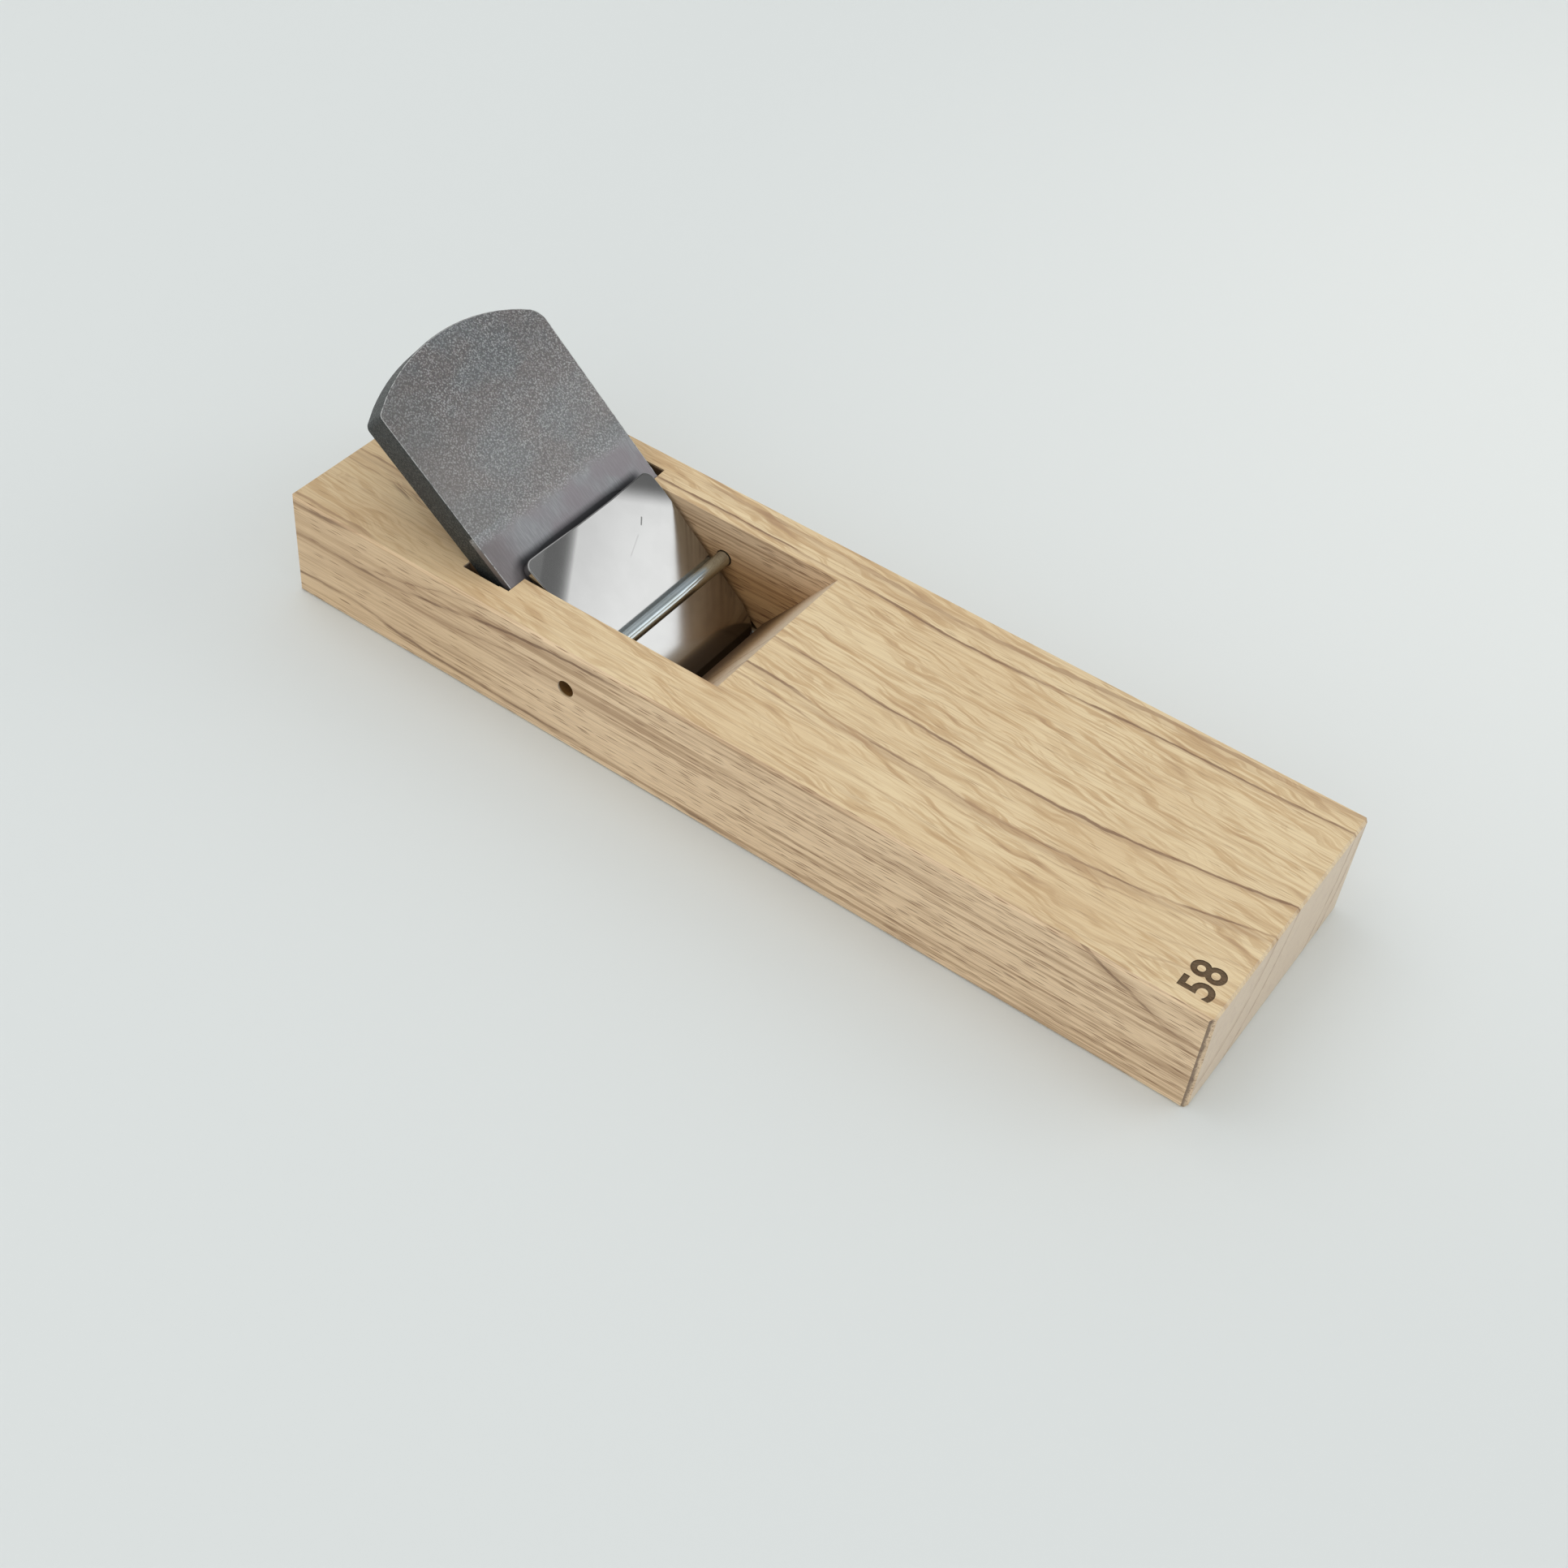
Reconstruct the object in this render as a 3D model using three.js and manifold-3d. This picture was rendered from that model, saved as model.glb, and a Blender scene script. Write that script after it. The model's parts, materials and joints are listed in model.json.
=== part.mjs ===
// A Japanese kanna plane: an oak block, a laminated blade, a chip breaker and a pressure rod.
// Millimetres, +Z up. The origin is the middle of the sole. The blade leans back towards the
// head end at -X, the toe end is +X, and shavings rise through the throat between them.
import * as THREE from 'three';
import { mergeVertices, toCreasedNormals } from 'three/addons/utils/BufferGeometryUtils.js';
import Module from 'manifold-3d';

const wasm = await Module();
wasm.setup();

// Angles in degrees
const bladeSlope = 39;
const bladeWedge = 1;
const bevelAngle = 29;

// Blade, measured along its front face from the cutting edge. The block is sized to its width.
const bladeWidth = 58;
const bladeLength = 106;
const bladeEdgeThickness = 6.6;
const bladeHeadRadius = 53;
const bladeCornerRounding = 3;
const bladeSideTaper = 1;
const earLength = 10;
const edgeRetreat = 0.3;

// Oak block: each cheek covers the blade's side by the groove's hold, with a wall outside it
const blockLength = 258;
const blockHeight = 30.4;
const cheekWall = 8;
const grooveHold = 4.7;
const arrisChamfer = 0.6;
const cornerChamfer = 1.2;

// Throat, which is cut a little towards the far side of the block
const edgeFromHead = 100.1;
const throatOffset = 0.9;
const mouthGap = 0.7;
const mouthWallHeight = 4;
const frontWallRun = 20.4;

// Hard steel facing on the blade's front face, with its shallow hollow
const facingLength = 62;
const facingThickness = 1.8;
const hollowInset = 5;
const hollowDepth = 0.4;

// Chip breaker
const breakerLength = 49;
const breakerThickness = 3;
const breakerSetback = 0.9;
const breakerLift = 1.5;
const breakerBevelLength = 7;
const breakerLipThickness = 0.7;
const breakerBackRadius = 2.5;
const breakerLipRadius = 4;
const breakerNearEar = 12;
const breakerFarEar = 8.5;

// Pressure rod
const rodDiameter = 4;
const rodChamfer = 0.4;
const rodFromEdge = 21.3;
const rodRecess = 4;

// Clearances. Blade and chip breaker both lie over towards the near cheek by their side play.
const bedGap = 0.3;
const grooveGap = 0.4;
const grooveSideGap = 1.2;
const bladePlay = 0.8;
const earGap = 0.5;
const breakerSideGap = 0.5;
const breakerPlay = 0.4;
const weldGap = 0.3;
const breakerGap = 0.3;
const rodSeatGap = 0.3;
const rodHoleGap = 0.3;

// How far a cut runs past the face that it opens, the steps in a full circle, and the stations
// across the chip breaker, of which the ground bevel takes a share
const overrun = 5;
const circleSteps = 48;
const breakerStations = 16;
const bevelStationShare = 0.125;

// Edges sharper than this many degrees are drawn crisp
const creaseAngle = 30;

const frontAngle = THREE.MathUtils.degToRad(bladeSlope);
const wedgeAngle = THREE.MathUtils.degToRad(bladeWedge);
const bedAngle = frontAngle - wedgeAngle;
const bevelRadians = THREE.MathUtils.degToRad(bevelAngle);
const crease = THREE.MathUtils.degToRad(creaseAngle);

// Widths and side places that follow the blade's width
const blockWidth = bladeWidth + 2 * cheekWall;
const throatWidth = bladeWidth - 2 * grooveHold;
const grooveWidth = bladeWidth + 2 * grooveSideGap;
const bladeOffset = throatOffset - bladePlay;
const edgeWidth = throatWidth - 2 * (earGap + bladePlay);
const breakerWidth = throatWidth - 2 * (breakerSideGap + breakerPlay);
const breakerOffset = bladePlay - breakerPlay;

// Height that the bevel gains over the sole for each length up the blade's face
const bevelRise = Math.sin(frontAngle) - Math.tan(bevelRadians) * Math.cos(frontAngle);

// The cutting edge, from which everything in the throat is placed
const edgeX = edgeFromHead - blockLength / 2;
const edgeZ = edgeRetreat;

// Unit vectors of the world, and of the blade: down along its front face, and out of that face
const worldX = new THREE.Vector3(1, 0, 0);
const worldY = new THREE.Vector3(0, 1, 0);
const worldZ = new THREE.Vector3(0, 0, 1);
const bladeDown = new THREE.Vector3(Math.cos(frontAngle), 0, -Math.sin(frontAngle));
const bladeOut = new THREE.Vector3(Math.sin(frontAngle), 0, Math.cos(frontAngle));

const oak = new THREE.MeshStandardMaterial({ color: 0xd9bd92, roughness: 0.65, metalness: 0 });
const softIron = new THREE.MeshStandardMaterial({ color: 0x6d6c70, roughness: 0.6, metalness: 0.8 });
const hardSteel = new THREE.MeshStandardMaterial({ color: 0x77767b, roughness: 0.4, metalness: 0.9 });
const brightSteel = new THREE.MeshStandardMaterial({ color: 0xd8d7d4, roughness: 0.15, metalness: 1 });
const zincSteel = new THREE.MeshStandardMaterial({ color: 0xa9b4b8, roughness: 0.25, metalness: 1 });

// A closed geometry as a solid that can be joined and cut
function solidOf(geometry) {
  const bare = geometry.clone();
  bare.deleteAttribute('normal');
  bare.deleteAttribute('uv');
  const merged = mergeVertices(bare);
  const vertProperties = new Float32Array(merged.attributes.position.array);
  const triVerts = new Uint32Array(merged.index.array);
  return new wasm.Manifold(new wasm.Mesh({ numProp: 3, vertProperties, triVerts }));
}

// A solid as a named mesh
function meshOf(solid, name, material) {
  const { vertProperties, triVerts } = solid.getMesh();
  const geometry = new THREE.BufferGeometry();
  geometry.setAttribute('position', new THREE.BufferAttribute(vertProperties, 3));
  geometry.setIndex(new THREE.BufferAttribute(triVerts, 1));
  const mesh = new THREE.Mesh(toCreasedNormals(geometry, crease), material);
  mesh.name = name;
  return mesh;
}

// A prism of an outline drawn in two directions and run along the third, from start to end
function prism(shape, right, up, start, end) {
  const along = new THREE.Vector3().crossVectors(right, up);
  const options = { depth: end - start, bevelEnabled: false, curveSegments: circleSteps / 4 };
  const geometry = new THREE.ExtrudeGeometry(shape, options);
  geometry.translate(0, 0, start);
  geometry.applyMatrix4(new THREE.Matrix4().makeBasis(right, up, along));
  return solidOf(geometry);
}

// A prism of an X-Z outline, run in Y between two places
function prismAcross(shape, lowY, highY) {
  return prism(shape, worldX, worldZ, -highY, -lowY);
}

// A closed outline through points, each a pair of coordinates
function outline(points) {
  return new THREE.Shape(points.map(([x, y]) => new THREE.Vector2(x, y)));
}

// A rectangle between two corners, with its own corners cut at 45 degrees
function chamferedRectangle(lowX, highX, lowY, highY, cut) {
  return outline([
    [lowX + cut, lowY], [highX - cut, lowY], [highX, lowY + cut], [highX, highY - cut],
    [highX - cut, highY], [lowX + cut, highY], [lowX, highY - cut], [lowX, lowY + cut],
  ]);
}

// The point that lies so far down the blade's front face from the edge, and so far out of it
function bladePoint(down, out) {
  return new THREE.Vector3(edgeX, 0, edgeZ).addScaledVector(bladeDown, down).addScaledVector(bladeOut, out);
}

// X where a plane at a slope through a point reaches a height
function slopeX(point, angle, height) {
  return point.x + (point.z - height) / Math.tan(angle);
}

// The block with every arris chamfered
function plainBlock() {
  const halfLength = blockLength / 2;
  const halfWidth = blockWidth / 2;
  const endOutline = chamferedRectangle(-halfWidth, halfWidth, 0, blockHeight, arrisChamfer);
  const sideOutline = chamferedRectangle(-halfLength, halfLength, 0, blockHeight, arrisChamfer);
  const topOutline = chamferedRectangle(-halfLength, halfLength, -halfWidth, halfWidth, cornerChamfer);
  return prism(endOutline, worldY, worldZ, -halfLength, halfLength)
    .intersect(prismAcross(sideOutline, -halfWidth, halfWidth))
    .intersect(prism(topOutline, worldX, worldY, 0, blockHeight));
}

// The open throat between the cheeks: sloped bed behind, sloped wall and short mouth wall in front
function throatCut(bedPoint) {
  const mouthX = edgeX + mouthGap;
  const frontWallSlope = (blockHeight - mouthWallHeight) / frontWallRun;
  const low = -overrun;
  const high = blockHeight + overrun;
  const shape = outline([
    [slopeX(bedPoint, bedAngle, low), low],
    [mouthX, low],
    [mouthX, mouthWallHeight],
    [mouthX + (high - mouthWallHeight) / frontWallSlope, high],
    [slopeX(bedPoint, bedAngle, high), high],
  ]);
  return prismAcross(shape, throatOffset - throatWidth / 2, throatOffset + throatWidth / 2);
}

// The grooves in both cheeks that hold the blade's sides, which run out to nothing at the sole
function grooveCut(bedPoint, facePoint) {
  const low = -overrun;
  const high = blockHeight + overrun;
  const slot = outline([
    [slopeX(bedPoint, bedAngle, low), low],
    [slopeX(facePoint, frontAngle, low), low],
    [slopeX(facePoint, frontAngle, high), high],
    [slopeX(bedPoint, bedAngle, high), high],
  ]);
  const narrow = throatWidth / 2;
  const wide = grooveWidth / 2;
  const rampHeight = edgeRetreat + earLength * bevelRise;
  const crossSection = outline([
    [throatOffset - narrow, 0],
    [throatOffset + narrow, 0],
    [throatOffset + wide, rampHeight],
    [throatOffset + wide, high],
    [throatOffset - wide, high],
    [throatOffset - wide, rampHeight],
  ]);
  const reach = blockLength / 2;
  return prismAcross(slot, -blockWidth / 2, blockWidth / 2)
    .intersect(prism(crossSection, worldY, worldZ, -reach, reach));
}

// The round hole through both cheeks for the pressure rod
function rodHole(rodCentre) {
  const radius = rodDiameter / 2 + rodHoleGap;
  const geometry = new THREE.CylinderGeometry(radius, radius, blockWidth + 2 * overrun, circleSteps);
  geometry.translate(rodCentre.x, 0, rodCentre.z);
  return solidOf(geometry);
}

// Blade thickness at a distance up from the cutting edge
function bladeThickness(up) {
  return bladeEdgeThickness + up * Math.tan(wedgeAngle);
}

// The blade's face outline: an arched head, slightly tapered sides and ears cut back to the mouth
function bladeFace() {
  const half = bladeWidth / 2;
  const lowHalf = half - bladeSideTaper;
  const edgeHalf = edgeWidth / 2;
  const centreX = bladeHeadRadius - bladeLength;
  const cornerAngle = Math.asin(half / bladeHeadRadius);
  const cornerX = centreX - bladeHeadRadius * Math.cos(cornerAngle);
  const arcAngle = cornerAngle - bladeCornerRounding / bladeHeadRadius;
  const shape = new THREE.Shape();
  shape.moveTo(0, -edgeHalf);
  shape.lineTo(0, edgeHalf);
  shape.lineTo(-earLength, lowHalf);
  shape.lineTo(cornerX + bladeCornerRounding, half);
  const arcStart = new THREE.Vector2(-Math.cos(arcAngle), Math.sin(arcAngle));
  arcStart.multiplyScalar(bladeHeadRadius);
  shape.quadraticCurveTo(cornerX, half, centreX + arcStart.x, arcStart.y);
  shape.absarc(centreX, 0, bladeHeadRadius, Math.PI - arcAngle, Math.PI + arcAngle, false);
  shape.quadraticCurveTo(cornerX, -half, cornerX + bladeCornerRounding, -half);
  shape.lineTo(-earLength, -lowHalf);
  return shape;
}

// The whole blade before it is split into iron and steel: a wedge with the bevel ground behind
function wholeBlade() {
  const bevelRun = bladeEdgeThickness / (Math.tan(bevelRadians) - Math.tan(wedgeAngle));
  const side = outline([
    [0, 0],
    [-bladeLength, 0],
    [-bladeLength, -bladeThickness(bladeLength)],
    [-bevelRun, -bladeThickness(bevelRun)],
  ]);
  const face = prism(bladeFace(), worldX, worldY, -bladeThickness(bladeLength), 0);
  return prismAcross(side, -bladeWidth / 2, bladeWidth / 2).intersect(face);
}

// A box from the cutting edge up the blade and in from its front face
function faceLayer(length, depth) {
  const geometry = new THREE.BoxGeometry(length + overrun, bladeWidth + overrun, depth + overrun);
  geometry.translate(-(length - overrun) / 2, 0, -(depth - overrun) / 2);
  return solidOf(geometry);
}

// The shallow hollow ground in the steel, as a flat lens
function hollowLens() {
  const geometry = new THREE.SphereGeometry(1, circleSteps, circleSteps / 4);
  geometry.rotateX(Math.PI / 2);
  geometry.scale(facingLength / 2 - hollowInset, bladeWidth / 2 - hollowInset, hollowDepth);
  geometry.translate(-facingLength / 2, 0, 0);
  return solidOf(geometry);
}

// Distance up from the chip breaker's lip at a share of its stations, one of which ends the bevel
function stationUp(share) {
  if (share < bevelStationShare) {
    return breakerBevelLength * share / bevelStationShare;
  }
  const rest = (share - bevelStationShare) / (1 - bevelStationShare);
  return THREE.MathUtils.lerp(breakerBevelLength, breakerLength, rest);
}

// How far the chip breaker is bent down at a place: nothing but in its two back corners
function earBend(up, y) {
  const span = y < 0 ? breakerNearEar : breakerFarEar;
  const fromBack = (breakerLength - up) / span;
  const fromSide = (breakerWidth / 2 - Math.abs(y)) / span;
  return breakerLift * Math.max(0, 1 - fromBack - fromSide);
}

// The chip breaker's plate, bent from a flat grid: its lip bears on the blade, its back end is
// lifted, its two back corners are bent down onto the blade, and its lip is ground thin
function breakerPlate() {
  const geometry = new THREE.BoxGeometry(1, 1, 1, breakerStations, breakerStations, 1);
  geometry.translate(-1 / 2, 0, 1 / 2);
  const position = geometry.attributes.position;
  for (let i = 0; i < position.count; i += 1) {
    const up = stationUp(-position.getX(i));
    const y = position.getY(i) * breakerWidth;
    const grind = Math.min(up / breakerBevelLength, 1);
    const thickness = THREE.MathUtils.lerp(breakerLipThickness, breakerThickness, grind);
    const under = breakerGap + breakerLift * up / breakerLength - earBend(up, y);
    const z = under + thickness * position.getZ(i);
    position.setXYZ(i, -breakerSetback - up, breakerOffset + y, z);
  }
  return solidOf(geometry);
}

// The chip breaker's face outline, with its corners rounded
function breakerFace() {
  const low = breakerOffset - breakerWidth / 2;
  const high = breakerOffset + breakerWidth / 2;
  const lip = -breakerSetback - breakerLipRadius;
  const back = -breakerSetback - breakerLength + breakerBackRadius;
  const right = Math.PI / 2;
  const shape = new THREE.Shape();
  shape.absarc(lip, low + breakerLipRadius, breakerLipRadius, -right, 0, false);
  shape.absarc(lip, high - breakerLipRadius, breakerLipRadius, 0, right, false);
  shape.absarc(back, high - breakerBackRadius, breakerBackRadius, right, 2 * right, false);
  shape.absarc(back, low + breakerBackRadius, breakerBackRadius, 2 * right, 3 * right, false);
  return shape;
}

// Height of the chip breaker's top face above the blade's front face
function breakerTop(upFromEdge) {
  return breakerGap + breakerLift * (upFromEdge - breakerSetback) / breakerLength + breakerThickness;
}

// The pressure rod: an outline turned about Y into a round bar with chamfered ends
function pressureRod(rodCentre) {
  const radius = rodDiameter / 2;
  const half = blockWidth / 2 - rodRecess;
  const profile = [
    [0, -half], [radius - rodChamfer, -half], [radius, rodChamfer - half],
    [radius, half - rodChamfer], [radius - rodChamfer, half], [0, half],
  ];
  const geometry = new THREE.LatheGeometry(profile.map(([x, y]) => new THREE.Vector2(x, y)), circleSteps);
  geometry.translate(rodCentre.x, 0, rodCentre.z);
  return solidOf(geometry);
}

const rodCentre = bladePoint(-rodFromEdge, breakerTop(rodFromEdge) + rodSeatGap + rodDiameter / 2);

const backPoint = bladePoint(0, -bladeEdgeThickness);
const bedPoint = backPoint.clone().add(new THREE.Vector3(0, 0, -bedGap / Math.cos(bedAngle)));
const facePoint = bladePoint(0, grooveGap);

const block = plainBlock()
  .subtract(throatCut(bedPoint))
  .subtract(grooveCut(bedPoint, facePoint))
  .subtract(rodHole(rodCentre));

const blade = wholeBlade();
const facing = blade.intersect(faceLayer(facingLength, facingThickness)).subtract(hollowLens());
const iron = blade.subtract(faceLayer(facingLength + weldGap, facingThickness + weldGap));

const breaker = breakerPlate()
  .intersect(prism(breakerFace(), worldX, worldY, 0, breakerTop(bladeLength)));

// The blade and the chip breaker lie in a group turned to the blade's slope at the cutting edge
const bladeGroup = new THREE.Group();
bladeGroup.position.set(edgeX, bladeOffset, edgeZ);
bladeGroup.rotation.y = frontAngle;
bladeGroup.add(meshOf(iron, 'blade_iron_body', softIron));
bladeGroup.add(meshOf(facing, 'blade_steel_facing', hardSteel));
bladeGroup.add(meshOf(breaker, 'chip_breaker', brightSteel));

const group = new THREE.Group();
group.add(meshOf(block, 'oak_block', oak));
group.add(meshOf(pressureRod(rodCentre), 'pressure_rod', zincSteel));
group.add(bladeGroup);

export default group;
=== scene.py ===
# %% [markdown]
# A Japanese pull plane, modelled and finished by hand around its construction model. The plane
# has four loose pieces: an oak block, a laminated blade, a chip breaker and a pressure rod.
# We first load the construction model. Its solids have the right size and place, so every piece
# made below takes its measures from them.

# %% Load the frame
import bmesh
import bpy
import json
from math import atan2, cos, degrees, pi, radians, sin, tan
from mathutils import Matrix, Quaternion, Vector


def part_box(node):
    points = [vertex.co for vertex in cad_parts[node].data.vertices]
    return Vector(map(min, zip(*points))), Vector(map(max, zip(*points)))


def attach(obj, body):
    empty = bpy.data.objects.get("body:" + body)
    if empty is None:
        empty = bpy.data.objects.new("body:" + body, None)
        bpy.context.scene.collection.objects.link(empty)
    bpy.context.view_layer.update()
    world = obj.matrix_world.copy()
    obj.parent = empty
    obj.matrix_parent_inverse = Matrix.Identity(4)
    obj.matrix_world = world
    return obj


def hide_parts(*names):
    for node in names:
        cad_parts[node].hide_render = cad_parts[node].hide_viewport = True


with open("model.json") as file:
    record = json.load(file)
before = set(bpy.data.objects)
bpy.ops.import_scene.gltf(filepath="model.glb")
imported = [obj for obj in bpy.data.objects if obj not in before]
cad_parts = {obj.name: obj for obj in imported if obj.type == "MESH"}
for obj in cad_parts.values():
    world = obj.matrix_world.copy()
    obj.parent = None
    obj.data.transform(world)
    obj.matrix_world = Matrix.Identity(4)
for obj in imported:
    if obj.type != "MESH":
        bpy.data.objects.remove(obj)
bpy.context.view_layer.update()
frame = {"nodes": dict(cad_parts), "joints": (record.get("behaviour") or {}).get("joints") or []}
MM = 0.001
print("nodes:", sorted(frame["nodes"]))

# %% [markdown]
# Every piece of the plane is placed from a few measures of the model. The blade slides along
# its own slope, so the direction of its joint gives that slope. The cutting edge is the lowest
# line of the steel facing, and it is the datum for the blade and the chip breaker.

# %% Measure the model
block_low, block_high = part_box("oak_block")
iron_low, iron_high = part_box("blade_iron_body")
facing_low, facing_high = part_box("blade_steel_facing")
breaker_low, breaker_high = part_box("chip_breaker")
rod_low, rod_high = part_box("pressure_rod")
top = block_high.z
slide = Vector(next(j["axis"] for j in frame["joints"] if j["name"] == "blade_slide"))
slope = atan2(slide.z, -slide.x)
blade_middle = (iron_low.y + iron_high.y) / 2
edge = Vector((facing_high.x, blade_middle, facing_low.z))
print("blade slope", round(degrees(slope), 2), "degrees")
print("cutting edge at", [round(c / MM, 2) for c in edge], "mm")

# %% [markdown]
# The camera looks down at the plane from its near side and toe end, and leans a little. A camera
# is easiest to describe as a photographer would: how far round, how high, how far away, what it
# aims at and how much it is rolled.

# %% Camera
image_side = 1932
focal_pixels = 2761.6
sensor = 36
aim = Vector((6.8, -13.7, 0)) * MM
camera_distance = 535.6 * MM
camera_azimuth = radians(31.19)
camera_elevation = radians(45.97)
camera_roll = radians(6.24)
nearest_seen = 10 * MM

look = Vector((
    -sin(camera_azimuth) * cos(camera_elevation),
    cos(camera_azimuth) * cos(camera_elevation),
    -sin(camera_elevation),
))
camera = bpy.data.objects.new("camera", bpy.data.cameras.new("camera"))
bpy.context.collection.objects.link(camera)
camera.data.sensor_width = sensor
camera.data.lens = focal_pixels * sensor / image_side
camera.data.clip_start = nearest_seen
camera.location = aim - look * camera_distance
camera.rotation_mode = "QUATERNION"
camera.rotation_quaternion = look.to_track_quat("-Z", "Y") @ Quaternion((0, 0, 1), camera_roll)
bpy.context.scene.camera = camera
print("lens", round(camera.data.lens, 2), "mm, camera at", [round(c / MM) for c in camera.location])

# %% [markdown]
# Modelling by script is modelling by hand with the hand's choices written down, so a few helpers
# stand in for the mouse. One makes a piece the only selected thing, one enters edit mode and
# picks faces, edges or vertices by a test of their place or direction, and one leaves that mode.
# The first piece they touch is a copy of the block.

# %% Hands
touch = 0.01 * MM


def work_on(piece):
    """Makes a piece the active one and the only one selected, in object mode"""
    if bpy.context.mode != "OBJECT":
        bpy.ops.object.mode_set(mode="OBJECT")
    bpy.ops.object.select_all(action="DESELECT")
    piece.select_set(True)
    bpy.context.view_layer.objects.active = piece


def anything(element):
    """A test that picks the whole piece"""
    return True


def pick(piece, kind, test):
    """In edit mode, selects only the VERT, EDGE or FACE elements that pass a test"""
    work_on(piece)
    bpy.ops.object.mode_set(mode="EDIT")
    bpy.ops.mesh.select_mode(type=kind)
    bpy.ops.mesh.select_all(action="DESELECT")
    mesh = bmesh.from_edit_mesh(piece.data)
    mesh.normal_update()
    elements = {"VERT": mesh.verts, "EDGE": mesh.edges, "FACE": mesh.faces}[kind]
    chosen = [element for element in elements if test(element)]
    for element in chosen:
        element.select_set(True)
    mesh.select_flush_mode()
    bmesh.update_edit_mesh(piece.data)
    return len(chosen)


def leave():
    """Back to object mode"""
    bpy.ops.object.mode_set(mode="OBJECT")


block_mesh = frame["nodes"]["oak_block"].data.copy()
block = bpy.data.objects.new("planed_oak_block", block_mesh)
bpy.context.collection.objects.link(block)
points = pick(block, "VERT", anything)
leave()
print("the copied block has", points, "points")

# %% [markdown]
# The block is one piece of oak. Its throat, grooves and rod hole already have the right shape in
# the model, but its mesh is loose triangles, so the copy is welded and its flat faces are joined.

# %% Oak block
weld_distance = 0.01 * MM
flat_angle = radians(0.5)

pick(block, "VERT", anything)
bpy.ops.mesh.customdata_custom_splitnormals_clear()
bpy.ops.mesh.remove_doubles(threshold=weld_distance)
bpy.ops.mesh.dissolve_limited(angle_limit=flat_angle)
leave()
print("welded block has", len(block.data.polygons), "faces")

# %% [markdown]
# What the copy lacks is what a chisel and a plane leave. The lips of the throat are not
# knife-sharp, so the edges that lie in the top face and turn down into the throat are rounded a
# little.

# %% Throat lips
lip_round = 0.25 * MM
lip_angle = radians(45)
lips_reach_x = 80 * MM
lips_reach_y = 31 * MM


def middle(element):
    """The middle of an edge or face"""
    return sum((vertex.co for vertex in element.verts), Vector()) / len(element.verts)


lips = pick(block, "EDGE", lambda e: (
    all(abs(vertex.co.z - top) < touch for vertex in e.verts)
    and e.calc_face_angle(0) > lip_angle
    and abs(middle(e).x) < lips_reach_x
    and abs(middle(e).y) < lips_reach_y
))
bpy.ops.mesh.bevel(offset=lip_round, segments=2)
leave()
print("throat lips rounded:", lips, "edges; block has", len(block.data.polygons), "faces")

# %% [markdown]
# The grooves that hold the sides of the blade are open a little way behind it at the top face,
# where the chisel went in. Each opening is one small upright box. A box is added with sides of
# one metre, then scaled and moved, and its scale and place are settled into its mesh.

# %% Groove mouths
mouth_back = -79.2 * MM
mouth_front = -68 * MM
mouth_inner = 27.3 * MM
mouth_outer = 29.8 * MM
mouth_depth = 8 * MM
mouth_above = 1 * MM


def new_piece(name):
    """Names the primitive that was just added, and its mesh"""
    piece = bpy.context.object
    piece.name = name
    piece.data.name = name
    return piece


def settle():
    """Moves the active object's place, turn and scale into its mesh"""
    bpy.ops.object.transform_apply(location=True, rotation=True, scale=True)


def new_box(name, size, middle_point=(0, 0, 0)):
    """Adds a box of a given size round its middle"""
    bpy.ops.mesh.primitive_cube_add(size=1, location=(0, 0, 0))
    box = new_piece(name)
    box.scale = size
    box.location = middle_point
    settle()
    return box


mouths = []
for side in (-1, 1):
    size = (mouth_front - mouth_back, mouth_outer - mouth_inner, mouth_depth + mouth_above)
    mouths.append(new_box("groove_mouth", size, (
        (mouth_front + mouth_back) / 2,
        blade_middle + side * (mouth_outer + mouth_inner) / 2,
        top + (mouth_above - mouth_depth) / 2,
    )))
print("groove mouths open", round((mouth_outer - mouth_inner) / MM, 1), "mm wide")

# %% [markdown]
# One solid is cut with another by a modifier, which is given its settings and applied at once.
# The solid that cuts is then thrown away, as it is only a tool.

# %% Cut the mouths
def finish_with(piece, kind, **settings):
    """Adds a modifier and applies it"""
    work_on(piece)
    modifier = piece.modifiers.new(kind.lower(), kind)
    for name, value in settings.items():
        setattr(modifier, name, value)
    bpy.ops.object.modifier_apply(modifier=modifier.name)


def cut_away(piece, cutter, operation="DIFFERENCE"):
    """Cuts a piece with another solid, and throws that solid away"""
    finish_with(piece, "BOOLEAN", object=cutter, operation=operation, solver="EXACT")
    bpy.data.objects.remove(cutter)


for mouth in mouths:
    cut_away(block, mouth)
print("block with its groove mouths has", len(block.data.polygons), "faces")

# %% [markdown]
# Two digits are burnt into the top face near the toe end: the width of the blade in millimetres.
# Text starts as a curve. It becomes a mesh, is scaled to the height and width of the real
# digits, turned to be read from the toe end, and cut a little way into the wood.

# %% Burnt digits
digit_height = 8.3 * MM
digit_width = 9.8 * MM
digit_depth = 0.25 * MM
digit_cutter_height = 2 * MM
digit_foot = block_high.x - 3.1 * MM
digit_side = -33.5 * MM
stroke_swell = 0.02

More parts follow.
